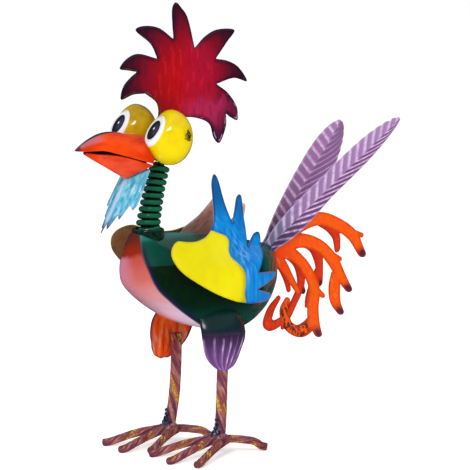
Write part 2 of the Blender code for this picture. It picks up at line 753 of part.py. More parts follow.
def leg(side):
    line = leg_points(side)
    wobble = [LEG_ROD / 2 * (1 - 0.03 * (k % 2)) for k in range(len(line))]
    return make(f"leg_{side}", *tube(line, wobble, 8, up=(0, 1, 0)), "rod_brown")


THIGH_LEVELS = ((134, 20, 24, 31.5), (125, 23.5, 30, 40.5), (115, 25.6, 35, 46.2),
                (104, 24.8, 37.5, 48), (95, 21.9, 38.6, 47.4), (87, 17.8, 41.5, 46.8),
                (80.5, 11.5, 45, 46.5), (77, 4.5, 45.6, 46.3))
FLUTES = 6


def thigh(side, envelope):
    """Open tulip cup outside the top of a leg, fluted below, trimmed against the shell."""
    line = leg_points(side)
    columns = 2 * FLUTES + 1
    points = []
    for z, half, edge, crown in np.array(THIGH_LEVELS) * UNIT:
        low, high = THIGH_LINES[side][1] * UNIT, THIGH_LINES[side][0] * UNIT
        middle = low + (high - low) * ease((z / UNIT - 74) / 40)
        rod = np.interp(z, line[:, 2], abs(line[:, 0])) + LEG_ROD / 2
        if z < line[-1, 2] + LEG_ROD:
            crown = max(crown, rod + SHEET + FLUTE_DEPTH + 4 * GAP)
        flute = FLUTE_DEPTH * ease((114 * UNIT - z) / (14 * UNIT)) * min(1, half / (18 * UNIT))
        for c in range(columns):
            across = 2 * c / (columns - 1) - 1
            swell = (1 - across ** 2) ** 0.7
            ridge = flute / 2 * (1 if c % 2 == 0 else -1)
            points.append((edge + (crown - edge) * swell + ridge, middle + across * half, z))
    faces = grid_faces(len(THIGH_LEVELS), columns)
    cup = make(f"thigh_{side}", *thicken(points, faces, SHEET), "thigh_purple", side == "right")
    cut(cup, envelope)
    return cup


def toe(side, name, route, steps=2):
    """A round rod along (X, Y, Z) points measured from the ankle, in metres."""
    line = spline(route, steps)
    ankle = np.array((*ANKLES[side], 0)) * UNIT
    radii = [TOE_ROD / 2] * len(line)
    return make(f"toe_{name}_{side}", *tube(line + ankle, radii, 6), "rod_brown")


def foot(side):
    """Two toes side by side at the front of the ankle and one bent rod for outer and back toe."""
    ahead = np.array((math.sin(FOOT_TURN), -math.cos(FOOT_TURN), 0))
    across = np.array((math.cos(FOOT_TURN), math.sin(FOOT_TURN), 0))
    radius = TOE_ROD / 2
    start = ahead * (LEG_ROD / 2 + 3 * GAP) + np.array((0, 0, ANKLE_RISE * UNIT))
    pitch = TOE_ROD + 3 * GAP
    floor = np.array((0, 0, radius * math.cos(math.pi / 6)))
    size = FOOT_SIZE[side] * UNIT
    tips = {name: np.array((*spot, 0)) * size + floor for name, spot in TOE_TIPS.items()}
    tips["outer"][:2] *= OUTER_REACH[side]

    def run(root, tip):
        flat = tip + (root - tip) * (1, 1, 0) * 0.12 + (0, 0, 0.5 * UNIT)
        return [root, root + ahead * 7 * UNIT, root + (flat - root) * 0.5 + (0, 0, 1.6 * UNIT), flat, tip]

    toe(side, "inner", run(start - across * pitch / 2, tips["inner"]))
    toe(side, "middle", run(start + across * pitch / 2, tips["middle"]))
    fork = start + across * pitch * 1.5
    outer = tips["outer"]
    back = tips["back"]
    flat = outer + (fork - outer) * (1, 1, 0) * 0.12 + (0, 0, 0.5 * UNIT)
    heel = back + (fork - back) * (1, 1, 0) * 0.14 + (0, 0, 1.6 * UNIT)
    route = [outer, flat, fork + (flat - fork) * 0.5 + (0, 0, 1.6 * UNIT), fork,
             fork - ahead * 8 * UNIT, fork * 0.35 + back * 0.65 + (0, 0, 3.4 * UNIT), heel, back]
    toe(side, "outer_back", route)


def build():
    clear_scene()
    figure = bpy.data.objects.new("figure", None)
    envelope = body_envelope()
    eyes = [eye_clearance(side) for side in ("left", "right")]
    chest_panel()
    neck_collar(envelope)
    neck_coil()
    head_stem()
    beak_upper(eyes)
    beak_lower(eyes)
    beard()
    comb()
    for side in ("left", "right"):
        mirrored = side == "right"
        body_shell(f"body_shell_{side}", mirrored)
        eye(side)
        wing(side)
        tail_feather(side)
        tail_plume(f"tail_plume_{side}", mirrored)
        thigh(side, envelope)
        leg(side)
        foot(side)
    pieces = [thing for thing in bpy.data.objects if thing.type == "MESH"]
    solid = [thing for thing in pieces if not thing.hide_render]
    corners = np.array([corner for thing in solid for corner in thing.bound_box])
    low, high = corners.min(axis=0), corners.max(axis=0)
    bpy.context.scene.collection.objects.link(figure)
    figure.location = (-(low[0] + high[0]) / 2, -(low[1] + high[1]) / 2, -low[2])
    for thing in pieces:
        thing.parent = figure


build()
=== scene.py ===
"""Looks of the painted sheet-metal rooster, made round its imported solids.

Shapes are laid out in millimetres on the bird's own axes: +Z up from the floor, the beak towards -Y,
the bird's left side towards +X and X = 0 its centre plane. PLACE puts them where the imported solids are.
"""
import math

import bpy
import numpy as np
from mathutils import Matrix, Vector
from mathutils.geometry import delaunay_2d_cdt


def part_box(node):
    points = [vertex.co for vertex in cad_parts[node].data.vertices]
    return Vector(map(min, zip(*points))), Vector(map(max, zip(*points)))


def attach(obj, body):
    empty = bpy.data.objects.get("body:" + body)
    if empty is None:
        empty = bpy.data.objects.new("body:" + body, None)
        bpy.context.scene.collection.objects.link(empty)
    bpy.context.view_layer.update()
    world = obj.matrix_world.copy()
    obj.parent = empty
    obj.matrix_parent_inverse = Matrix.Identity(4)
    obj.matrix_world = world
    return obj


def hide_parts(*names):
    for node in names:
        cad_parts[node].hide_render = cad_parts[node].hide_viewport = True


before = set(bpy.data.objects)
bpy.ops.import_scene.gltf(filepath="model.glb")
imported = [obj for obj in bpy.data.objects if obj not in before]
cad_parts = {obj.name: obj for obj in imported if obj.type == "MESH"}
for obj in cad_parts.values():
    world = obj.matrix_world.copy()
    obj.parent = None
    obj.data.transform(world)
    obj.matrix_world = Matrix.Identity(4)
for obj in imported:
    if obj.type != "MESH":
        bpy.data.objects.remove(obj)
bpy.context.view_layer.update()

# Driving sizes in millimetres
MM = 0.001
SHEET = 1.2
GAP = 0.3
LEG_ROD = 10.5
TOE_ROD = 7.5
COIL_WIRE = 5.4
COIL_PITCH = 6.3
COIL_FOOT = 23.6
COIL_HEAD = 18.9
COLLAR_WALL = 3.0
COLLAR_RISE = 4.5
STEM_ROD = 9.0
STEM_PLUG = 6.8
STEM_DISC = 16.0
EYE_DISC = 26.5
EYE_WHITE = 15.6
PUPIL = 10.1
FLUTE_DEPTH = 1.1
BARB_DEPTH = 0.55
BARB_PITCH = 10.5
REAR_BARB_PITCH = 9.66
ROUNDING = 0.3
ROD_ROUNDING = 0.5
ROD_STEP = 1.0
ROD_SIDES = 28
WIRE_SIDES = 18
BEATEN = 0.045

# The comb's front edge and top give the step from the bird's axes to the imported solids
COMB_FRONT = -87.5
COMB_TOP = 420.0
_comb_low, _comb_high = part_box("comb")
PLACE = np.array((
    (_comb_low.x + _comb_high.x) / 2,
    _comb_low.y - COMB_FRONT * MM,
    _comb_high.z - COMB_TOP * MM,
))

# Layout of the body: rim as (Y, Z, half the distance between the two shells)
BODY_CENTRE = np.array((8.0, 158.0))
BODY_DOME = 36.5
BODY_RIM = (
    (-72, 207, 8), (-74, 191, 14), (-73, 176, 22), (-67, 158.5, 28), (-54, 145, 31),
    (-35, 130.5, 31), (-14, 118, 28), (5, 111, 22), (28, 107, 15), (49, 109, 9),
    (70, 116, 4), (84, 128, 0), (93, 145, 0), (95, 160, 0), (92, 175, 0), (84, 184, 0),
    (60, 189.5, 0), (30, 196, 0), (0, 201.5, 0), (-35, 205, 0), (-58, 206.5, 4),
)
PANEL_SPANS = 12
PANEL_BULGE = 0.16
RIM_CORNERS = (0, 15)
RIM_STEPS = 8
TAIL_SLOT = 2 * SHEET + 2.5 * GAP

# Layout of the head and neck
NECK_LINE = ((-56.3, 206.7), (-55.7, 216.7), (-49.9, 243.5), (-43.9, 262.7), (-41.5, 269))
EYE_CENTRE = (-51.4, 296.2)
EYE_RADII = (22.5, 20.7, 26)
EYE_SWELL = 0.10
EYE_TILT = math.radians(32)
EYE_DISC_STAND = 18.9
EYE_TURN = math.radians(15)
STEM_TOP = 300.5
SCORCH = (47.5, -46.0, 302.5)
MOUTH_LINE = ((0.8, -140, 290), (5, -131, 289.3), (10, -115, 289.3), (14, -104, 286.5),
              (18, -91, 282.4), (24, -68, 275))
RIDGE_LINE = ((-140, 291.5), (-134, 295.5), (-124, 300.5), (-112, 304.3), (-99, 305), (-80, 302))
LOWER_LIP = ((3, -129, 287.5), (8, -119, 285.6), (13, -106, 284.2), (17.6, -91, 280.9), (24, -69, 273.2))
MOUTH_SINK = 0.9
MOUTH_CROWN = 8
MOUTH_SLOPE = 0.4
KEEL_LINE = ((-130, 286), (-118, 279), (-106, 272.5), (-94.5, 266), (-82.7, 259.6))

# Layout of the tail
TAIL_ROOT = (84, 170)
TAIL_ROOT_REACH = 14
FEATHER_BASE = (78, 172.5)
FEATHER_TIPS = {"left": (213, 297), "right": (209, 286.5)}
FEATHER_SPREAD = 39.5
FEATHER_ROLL = math.radians(20)
FEATHER_FOLD = math.radians(13)
FEATHER_SHAPE = ((0, 6.5), (0.08, 7.5), (0.16, 11), (0.3, 14), (0.55, 16), (0.75, 15.3),
                 (0.88, 11.5), (0.96, 6.5), (1, 2))
BARB_SLANTS = {"left": (0.72, 1.68), "right": (0.06, 2.28)}

# Layout of the legs and feet
ANKLES = {"left": (36, 0.5), "right": (-36, -3.5)}
LEG_LINES = {
    "left": ((1, 42, 37), (1, 74, 38.5), (2.5, 101, 40.5)),
    "right": ((5.5, 42, 36.6), (8.5, 74, 37.4), (9.5, 101, 38)),
}
THIGH_LINES = {"left": (4.5, -2), "right": (0, -3.7)}
THIGH_LEVELS = ((134, 20, 24, 31.5), (125, 23.5, 30, 40.5), (115, 25.6, 35, 46.2),
                (104, 24.8, 37.5, 48), (95, 21.9, 38.6, 47.4), (87, 17.8, 41.5, 46.8),
                (80.5, 11.5, 45, 46.5), (77, 4.5, 45.6, 46.3))
FLUTES = 6
FOOT_TURN = math.radians(15)
ANKLE_RISE = 11.5
FOOT_SIZE = {"left": 1.0, "right": 0.96}
TOE_TIPS = {"inner": (-10, -74), "middle": (30, -83), "outer": (60, -73), "back": (29, 32.5)}
OUTER_REACH = {"left": 1.0, "right": 0.86}
SIDES = ("left", "right")

# Weld beads as (ahead, across, up, size)
ANKLE_BEADS = (
    (0, 0, 29, 1.5), (0, 0.4, 25, 1.9), (0, -0.8, 21, 2.3), (0, 2.2, 17.5, 2.6), (0, -2.6, 17, 2.5),
    (2.4, 0, 14.6, 3.0), (3.0, 3.4, 13.6, 2.7), (2.6, -3.6, 13.4, 2.6), (6.5, 0, 13.2, 2.0),
    (1.4, 6.0, 14, 2.3),
)
TOE_BEADS = ((-4.5, 0, 2.6, 2.1), (-1.5, 0, 3.2, 2.1), (1.6, 0, 3.2, 2.1), (4.4, 0, 2.8, 2.1),
             (7.0, 0, 2.0, 2.1))
WELD_TURN = (6.3, 6.3, 6.3)
WELD_GRAIN = 330.0
WELD_DEPTH = 2.6

# Camera, at the photograph's viewing angle
CAMERA_AZIMUTH = math.radians(52)
CAMERA_RISE = math.radians(8.5)
CAMERA_DISTANCE = 5.0
CAMERA_AIM = (0, 46.54, 195.09)
PIXELS = 470
PIXELS_PER_MM = 1.05994
SENSOR = 36.0

# Studio: an even sky, which the gloss mirrors dimly low down and more above, a floor and soft lights
SKY_LIGHT = 0.68
SKY_EDGE = (0.38, 0.62)
SKY_MIRRORED = (0.04, 0.3)
FLOOR_REACH = 40.0
FLOOR_GREY = 0.92
FLOOR_ROUGHNESS = 0.9
FLOOR_GLOW = 0.38
LIGHT_AIM = (0, 0, 0.2)
LIGHTS = (
    ("key_light", (1.2, -1.9, 2.1), (0.9, 0.7), 28, True),
    ("side_light", (2.6, 0.9, 0.9), (0.9, 1.6), 9, False),
    ("fill_light", (-1.8, -1.4, 1.4), (1.4, 1.4), 8, False),
)

# Gloss of the enamel
ENAMEL_MIRROR = 0.32
COAT_ROUGHNESS = 0.06


# Tools for points and lines

def ease(value):
    value = np.clip(value, 0, 1)
    return value * value * (3 - 2 * value)


def spline(points, steps):
    """Catmull-Rom curve through the points, with that many steps between neighbours."""
    p = np.array(points, float)
    padded = np.vstack([2 * p[0] - p[1], p, 2 * p[-1] - p[-2]])
    t = (np.arange(steps) / steps)[:, None]
    curve = [0.5 * (2 * b + (c - a) * t + (2 * a - 5 * b + 4 * c - d) * t ** 2
                    + (3 * b - a - 3 * c + d) * t ** 3)
             for a, b, c, d in zip(padded, padded[1:], padded[2:], padded[3:])]
    return np.vstack([*curve, p[-1:]])


def along(line, share):
    """The points of a line at shares of its list, from 0 to 1."""
    line = np.array(line, float)
    spots = np.atleast_1d(share) * (len(line) - 1)
    return np.column_stack([np.interp(spots, range(len(line)), column) for column in line.T])


def outline(*stretches, steps=8):
    """Closed outline from smooth stretches that meet at corners."""
    curve = [spline(list(stretch) + [following[0]], steps)[:-1]
             for stretch, following in zip(stretches, stretches[1:] + stretches[:1])]
    return np.vstack(curve)


def stroke(points, steps=8):
    """Outline of a frond drawn along (Y, Z, width) points, with a round end."""
    line = spline(points, steps)
    way = np.gradient(line[:, :2], axis=0)
    way /= np.linalg.norm(way, axis=1)[:, None]
    side = np.column_stack([-way[:, 1], way[:, 0]]) * line[:, 2:] / 2
    radius = line[-1, 2] / 2
    turn = np.radians(np.arange(-75, 76, 15))[:, None]
    end = line[-1, :2] + radius * (way[-1] * np.cos(turn) + side[-1] / radius * np.sin(turn))
    return np.vstack([line[:, :2] - side, end, (line[:, :2] + side)[::-1]])


def inside(loop, spots):
    """Whether each spot lies in the loop, by counting crossings."""
    hit = np.zeros(len(spots), bool)
    for (ya, za), (yb, zb) in zip(loop, np.roll(loop, -1, axis=0)):
        if za != zb:
            crosses = (za > spots[:, 1]) != (zb > spots[:, 1])
            hit ^= crosses & (spots[:, 0] < ya + (spots[:, 1] - za) * (yb - ya) / (zb - za))
    return hit


def distance_to(loop, spots):
    nearest = np.full(len(spots), np.inf)
    for a, b in zip(loop, np.roll(loop, -1, axis=0)):
        edge = b - a
        share = np.clip((spots - a) @ edge / max(edge @ edge, 1e-12), 0, 1)
        nearest = np.minimum(nearest, np.linalg.norm(spots - a - share[:, None] * edge, axis=1))
    return nearest


def fill(loops, spacing):
    """Points, triangles and depths below the edge over the union of the loops."""
    low = np.min([loop.min(axis=0) for loop in loops], axis=0)
    high = np.max([loop.max(axis=0) for loop in loops], axis=0)
    rows = np.arange(low[1], high[1], spacing * math.sqrt(3) / 2)
    grid = np.array([(y + (k % 2) * spacing / 2, z) for k, z in enumerate(rows)
                     for y in np.arange(low[0], high[0], spacing)])
    covered = np.any([inside(loop, grid) for loop in loops], axis=0)
    room = np.min([distance_to(loop, grid) for loop in loops], axis=0) > spacing * 0.45
    corners = [Vector(p) for loop in loops for p in loop]
    starts = np.cumsum([0] + [len(loop) for loop in loops])
    rings = [list(range(a, b)) for a, b in zip(starts, starts[1:])]
    found = delaunay_2d_cdt(corners + [Vector(p) for p in grid[covered & room]], [], rings, 0, 1e-3)
    flat = np.array([tuple(p) for p in found[0]])
    triangles = np.array([face for face in found[2] if len(face) == 3])
    middle = flat[triangles].mean(axis=1)
    triangles = triangles[np.any([inside(loop, middle) for loop in loops], axis=0)]
    used = np.unique(triangles)
    place = np.full(len(flat), -1)
    place[used] = np.arange(len(used))
    flat = flat[used]
    triangles = place[triangles]
    one, two = flat[triangles[:, 1]] - flat[triangles[:, 0]], flat[triangles[:, 2]] - flat[triangles[:, 0]]
    turned = one[:, 0] * two[:, 1] - one[:, 1] * two[:, 0] < 0
    triangles[turned] = triangles[turned][:, ::-1]
    depths = [np.where(inside(loop, flat), distance_to(loop, flat), 0) for loop in loops]
    return flat, [tuple(face) for face in triangles.tolist()], np.max(depths, axis=0)


def grid_faces(rows, columns, closed=False):
    """Quads of a grid of points, rows first, that look along row step times column step."""
    faces = []
    for r in range(rows - 1):
        for c in range(columns if closed else columns - 1):
            d = (c + 1) % columns
            faces.append((r * columns + c, (r + 1) * columns + c, (r + 1) * columns + d, r * columns + d))
    return faces


def thicken(points, faces, notes):
    """Closed wall of sheet below an open surface, with a note that is 1 on its inner face."""
    points = np.array(points, float)
    normals = np.zeros_like(points)
    for face in faces:
        corners = points[list(face)]
        across = np.cross(corners[1] - corners[0], corners[2] - corners[0])
        if len(face) == 4:
            across = np.cross(corners[2] - corners[0], corners[3] - corners[1])
        normals[list(face)] += across
    normals /= np.maximum(np.linalg.norm(normals, axis=1), 1e-9)[:, None]
    count = len(points)
    edges = {(a, b) for face in faces for a, b in zip(face, face[1:] + face[:1])}
    walls = [(b, a, a + count, b + count) for a, b in sorted(edges) if (b, a) not in edges]
    back = [tuple(i + count for i in reversed(face)) for face in faces]
    notes = {name: np.concatenate([values, values]) for name, values in notes.items()}
    notes["inner"] = np.repeat((0.0, 1.0), count)
    return np.vstack([points, points - normals * SHEET]), list(faces) + back + walls, notes


def tube(line, radii, sides, up=(0, 0, 1)):
    """Closed rod along a line of points."""
    line = np.array(line, float)
    way = np.gradient(line, axis=0)
    way /= np.linalg.norm(way, axis=1)[:, None]
    side = np.cross(way, up)
    side /= np.linalg.norm(side, axis=1)[:, None]
    top = np.cross(side, way)
    angles = (np.arange(sides) + 0.5) * math.tau / sides + math.pi / 2
    points = []
    for middle, radius, s, t in zip(line, radii, side, top):
        points.extend(middle + radius * (math.cos(a) * s + math.sin(a) * t) for a in angles)
    last = (len(line) - 1) * sides
    faces = grid_faces(len(line), sides, closed=True)
    return points, faces + [tuple(range(sides)), tuple(reversed(range(last, last + sides)))]


# Tools for finishes

def tone(code):
    """Linear colour of a six-digit screen colour."""
    parts = [int(code[i:i + 2], 16) / 255 for i in (0, 2, 4)]
    return (*[p / 12.92 if p <= 0.04045 else ((p + 0.055) / 1.055) ** 2.4 for p in parts], 1)


class Reading:
    """A number socket of a finish. Arithmetic on it adds Math nodes."""

    def __init__(self, finish, socket):
        self.finish = finish
        self.socket = socket

    def maths(self, operation, *values):
        return self.finish.node("ShaderNodeMath", {"operation": operation}, *values)

    def __add__(self, other):
        return self.maths("ADD", self, other)

    def __sub__(self, other):
        return self.maths("SUBTRACT", self, other)

    def __rsub__(self, other):
        return self.maths("SUBTRACT", other, self)

    def __mul__(self, other):
        return self.maths("MULTIPLY", self, other)

    def __truediv__(self, other):
        return self.maths("DIVIDE", self, other)

    def __pow__(self, other):
        return self.maths("POWER", self, other)

    __radd__ = __add__
    __rmul__ = __mul__

    def sine(self):
        return self.maths("SINE", self)

    def size(self):
        return self.maths("ABSOLUTE", self)

    def least(self, other):
        return self.maths("MINIMUM", self, other)

    def most(self, other):
        return self.maths("MAXIMUM", self, other)

    def rise(self, low, high):
        """0 below low, 1 above high and a smooth step between. With low above high it falls."""
        flip = low > high
        low, high = min(low, high), max(low, high)
        step = self.finish.node("ShaderNodeMapRange", {"interpolation_type": "SMOOTHSTEP"}, self, low, high)
        return 1 - step if flip else step

    def sway(self, amount):
        """The reading less a half, times that amount, to shift another reading both ways."""
        return (self - 0.5) * amount


class Finish:
    """One enamel finish, with nodes that read millimetres on the bird's axes."""

    def __init__(self, name):
        self.material = bpy.data.materials.new(name)
        self.material.use_nodes = True
        self.tree = self.material.node_tree
        self.shader = self.tree.nodes["Principled BSDF"]
        spot = self.node("ShaderNodeTexCoord", {}, out="Object")
        moved = self.node("ShaderNodeVectorMath", {"operation": "SUBTRACT"}, spot, tuple(PLACE))
        self.spot = self.node("ShaderNodeVectorMath", {"operation": "SCALE"}, moved, Scale=1 / MM)
        axes = self.node("ShaderNodeSeparateXYZ", {}, self.spot).socket.node.outputs
        self.x, self.y, self.z = (Reading(self, socket) for socket in axes)

    def node(self, kind, settings, *values, out=0, **named):
        """One node of any kind: settings first, then values or links of its sockets."""
        made = self.tree.nodes.new(kind)
        for key, value in settings.items():
            setattr(made, key, value)
        for key, value in (*enumerate(values), *named.items()):
            socket = made.inputs[key.replace("_", " ") if isinstance(key, str) else key]
            if isinstance(value, Reading):
                self.tree.links.new(value.socket, socket)
            else:
                socket.default_value = value
        return Reading(self, made.outputs[out])

    def note(self, name):
        """A per-point number of the mesh."""
        return self.node("ShaderNodeAttribute", {"attribute_name": name}, out="Fac")

    def noise(self, size, detail=3.0, stretch=(1, 1, 1), turn=(0, 0, 0), rough=0.5, seed=0.0):
        """Noise with features of that size in millimetres, longer where stretch is above 1."""
        scale = tuple(1 / (size * s) for s in stretch)
        turned = self.node("ShaderNodeMapping", {"vector_type": "TEXTURE"}, self.spot,
                           (0, 0, 0), tuple(math.radians(a) for a in turn), (1, 1, 1))
        mapped = self.node("ShaderNodeVectorMath", {"operation": "MULTIPLY"}, turned, scale)
        moved = self.node("ShaderNodeVectorMath", {"operation": "ADD"}, mapped, (seed, seed * 2, seed * 3))
        return self.node("ShaderNodeTexNoise", {}, moved, Scale=1.0, Detail=detail, Roughness=rough)

    def lengthwise(self, size, stretch, turn=0.0, detail=3.0, seed=0.0):
        """Noise on a rod, long along it and turning round it by that many radians a millimetre."""
        angle = self.note("round") * math.tau + self.note("run") * turn
        beside, over = angle.sine() * size, (angle + math.pi / 2).sine() * size
        spot = self.node("ShaderNodeCombineXYZ", {}, beside, over, self.note("run") / stretch + seed)
        return self.node("ShaderNodeTexNoise", {}, spot, Scale=1.0, Detail=detail, Roughness=0.55)

    def mix(self, mask, first, second):
        """first where the mask is 0 and second where it is 1. Either may be a colour or a reading."""
        made = self.tree.nodes.new("ShaderNodeMix")
        made.data_type = "RGBA"
        for socket, value in ((0, mask), (6, first), (7, second)):
            if isinstance(value, Reading):
                self.tree.links.new(value.socket, made.inputs[socket])
            else:
                made.inputs[socket].default_value = tone(value) if isinstance(value, str) else value
        return Reading(self, made.outputs[2])

    def layers(self, ground, *coats):
        """A ground colour under coats of (mask, colour)."""
        for mask, colour in coats:
            ground = self.mix(mask, ground, colour)
        return ground

    def ramp(self, value, *stops):
        """Colour by value, through (place, colour) stops."""
        made = self.tree.nodes.new("ShaderNodeValToRGB")
        stripe = made.color_ramp
        while len(stripe.elements) < len(stops):
            stripe.elements.new(0.5)
        for element, (place, colour) in zip(stripe.elements, stops):
            element.position = place
            element.color = tone(colour)
        self.tree.links.new(value.socket, made.inputs[0])
        return Reading(self, made.outputs[0])

    def done(self, colour, roughness=0.25, spread=0.1, relief=(), coat=0.3):
        """Enamel of that colour, with mottled gloss and fine waves in the coat."""
        inputs = self.shader.inputs
        self.tree.links.new(colour.socket, inputs["Base Color"])
        mottle = self.noise(6, detail=4, seed=7.3)
        gloss = roughness + mottle.sway(spread)
        self.tree.links.new(gloss.socket, inputs["Roughness"])
        inputs["Specular IOR Level"].default_value = ENAMEL_MIRROR
        inputs["Coat Weight"].default_value = coat
        inputs["Coat Roughness"].default_value = COAT_ROUGHNESS
        height = self.noise(2.2, detail=2, seed=3.1) * 0.020 + self.noise(9, detail=1, seed=5.9) * 0.08
        for part in relief:
            height = height + part
        bump = self.node("ShaderNodeBump", {}, Strength=1.0, Distance=MM, Height=height, out="Normal")
        self.tree.links.new(bump.socket, inputs["Normal"])
        return self.material


# Finishes

def comb_finish():
    """Red enamel, crimson to the rear and below, smoked nearly black along the rim and on the spikes."""
    made = Finish("comb_red_enamel")
    rim = made.note("rim")
    streak = made.noise(5, detail=4, stretch=(1, 1, 3.5), seed=1)
    patch = made.noise(9, detail=3, seed=2)
    hub = made.note("hub") / 1.5 + streak.sway(0.5)
    ground = made.ramp(hub, (0.0, "b80008"), (0.30, "a6020e"), (0.50, "8e0318"), (0.70, "700620"),
                       (1.0, "3a0a22"))
    low = (made.z + streak.sway(26)).rise(333, 322)
    rear = (made.y + streak.sway(20)).rise(-26, 2)
    crimson = made.layers(ground, (rear * (1 - low) * 0.6 * made.note("hub").rise(1.1, 0.7), "a60634"),
                          (low * rear * 0.9, "a6204e"),
                          (streak.rise(0.54, 0.62) * made.note("hub").rise(1.0, 0.6) * 0.35, "dc1420"),
                          (streak.rise(0.44, 0.36) * 0.35, "7c0014"))
    smoke = (rim + patch.sway(4.4)).rise(5.4, 1.2) * made.note("hub").rise(0.55, 0.95)
    lip = (rim + patch.sway(1.2)).rise(1.5, 0.4)
    tips = (made.note("hub") + patch.sway(0.4)).rise(1.0, 1.4)
    spur = made.z.rise(306, 290) * made.y.rise(10, 20)
    glint = rim.rise(2.6, 2.0) * rim.rise(1.1, 1.7) * patch.rise(0.50, 0.58) * made.z.rise(345, 325)
    glint = glint * made.note("hub").rise(0.7, 1.0)
    colour = made.layers(crimson, (tips * 0.6, "280a20"), (spur * 0.7, "2a1030"), (smoke * 0.75, "260a24"),
                         (lip * 0.85, "1a0a1e"), (glint * 0.7, "b8a0cc"))
    return made.done(colour, 0.18, 0.10)


def eye_finish(side):
    """Yellow enamel with a white front and a dark pupil, with painted shade low down and over the far eye,
    and a painted sheen on the pupil.
    """
    made = Finish(f"eye_yellow_enamel_{side}")
    centre, ahead, across, over = eye_axes(side)
    off = made.node("ShaderNodeVectorMath", {"operation": "SUBTRACT"}, made.spot, tuple(centre))
    stand, beside, up = (made.node("ShaderNodeVectorMath", {"operation": "DOT_PRODUCT"}, off, tuple(axis),
                                   out="Value") for axis in (ahead, across, over))
    reach = (beside * beside + up * up) ** 0.5
    near = side == "left"
    mottle = made.noise(14, seed=4)
    # The far eye takes darker, browner yellows as painted shade.
    yellow = made.mix(mottle.rise(0.42, 0.8), *(("ecd200", "dcbc00") if near else ("d2ac06", "b0880a")))
    front = stand.rise(2, 4)
    white = front * reach.rise(EYE_WHITE + 0.5, EYE_WHITE - 0.5)
    pupil = front * reach.rise(PUPIL + 0.35, PUPIL - 0.35)
    # Painted sheen: a paler grey-blue patch on the pupil, off its centre.
    pupil_sheen = pupil * ((beside - 3) * (beside - 3) + (up - 1) * (up - 1)).rise(70, 4)
    glint = front * ((beside + 1.6) * (beside + 1.6) + (up - 1.6) * (up - 1.6)).rise(2.2, 0.9)
    # Painted shade: darker yellow low down, stronger on the far eye.
    low = made.z.rise(286, 276)
    seam = stand.rise(-13.5, -18)
    parts = [(low * (0.25 if near else 0.6), "b89c00" if near else "6a5c10"), (seam * 0.6, "6a5204")]
    if near:
        spot = made.node("ShaderNodeVectorMath", {"operation": "SUBTRACT"}, made.spot, SCORCH)
        far = made.node("ShaderNodeVectorMath", {"operation": "LENGTH"}, spot, out="Value")
        scratch = made.noise(1.5, detail=5, stretch=(1, 1, 2.0), turn=(35, 0, 0), rough=0.8, seed=6)
        scorch = far.rise(13, 0.5) * 0.9 + scratch.sway(2.6)
        parts.append((scorch.rise(0.50, 0.80) * far.rise(10, 7), "17140a"))
    parts += [(white, "f6f5f8"), (pupil, "14142a"), (pupil_sheen * 0.45, "4c4c6c"), (glint, "ffffff")]
    return made.done(made.layers(yellow, *parts), 0.14, 0.05, coat=0.6)


def beak_finish():
    """Orange enamel, redder at the edges and smoked along the ridge of the tip, with a painted sheen on the
    tip and inner faces painted near black as shade.
    """
    made = Finish("beak_orange_enamel")
    streak = made.noise(7, detail=3, stretch=(1, 3, 1), seed=8)
    ground = made.mix(streak.rise(0.35, 0.75), "ee4600", "d83200")
    rear = (made.y + streak.sway(10)).rise(-84, -68)
    front = (made.y + streak.sway(14)).rise(-116, -131)
    ridge = (made.z - (made.y + 140) * 0.36 - 291.3 + streak.sway(3)).rise(1.2, 4.0)
    tip = made.y.rise(-108, -120) * made.note("crest").rise(0.52, 0.80)
    nose = made.y.rise(-133.5, -137)
    inner = made.note("inner")
    # Painted sheen in pale lavender grey over the top of the tip.
    tip_sheen = tip * ridge.most(0.45)
    colour = made.layers(ground, (rear * 0.55, "c41600"), (front * 0.6, "b02008"),
                         (tip_sheen * 0.85, "9d8ea6"), (nose * 0.9, "3a2434"),
                         (made.note("crest").rise(0.93, 0.985) * made.y.rise(-92, -104), "241a2e"),
                         # Inner faces painted near black, as the shade inside the beak.
                         (inner, "2a0a06"))
    return made.done(colour, 0.18, 0.10)


def beard_finish():
    """Turquoise enamel in brushed streaks, with a painted reflection in pale lavender down the fold, dark at
    the tips.
    """
    made = Finish("beard_blue_enamel")
    brushed = made.noise(3.4, detail=4, stretch=(1, 2.6, 5), turn=(31, 0, 0), seed=9)
    drop = made.note("drop")
    ground = made.ramp(brushed, (0.32, "2a8cac"), (0.45, "46abc8"), (0.56, "72c2d8"), (0.68, "c0d2ee"))
    # Painted reflection: pale lavender along the fold of the sheet.
    fold = (made.note("across") + brushed.sway(6)).size().rise(5.5, 1.2)
    edge = made.note("rim").rise(1.6, 0.5)
    tips = (drop + brushed.sway(12)).rise(38, 49)
    colour = made.layers(ground, (fold * 0.75, "c2cbea"), (edge * 0.35, "9fb4dc"), (tips * 0.85, "26305c"))
    return made.done(colour, 0.26, 0.14)


def coil_finish():
    """Dark bottle-green enamel with a painted highlight in lighter green on the outside of each turn and
    painted shade on its inside.
    """
    made = Finish("coil_green_enamel")
    mottle = made.noise(4, detail=3, seed=10)
    outward = made.note("outward")
    ground = made.mix(mottle.rise(0.35, 0.7), "032a1e", "053d2b")
    # Painted highlight on the outward face of each turn and painted shade on the inward face, between the
    # turns.
    colour = made.layers(ground, (outward.rise(0.45, 0.95) * 0.75, "0a6a49"),
                         (outward.rise(0.1, -0.5) * 0.7, "011610"))
    return made.done(colour, 0.16, 0.08, coat=0.8)


def stem_finish():
    made = Finish("stem_green_enamel")
    mottle = made.noise(4, detail=3, seed=11)
    return made.done(made.mix(mottle.rise(0.3, 0.7), "021a12", "063626"), 0.2, 0.1)


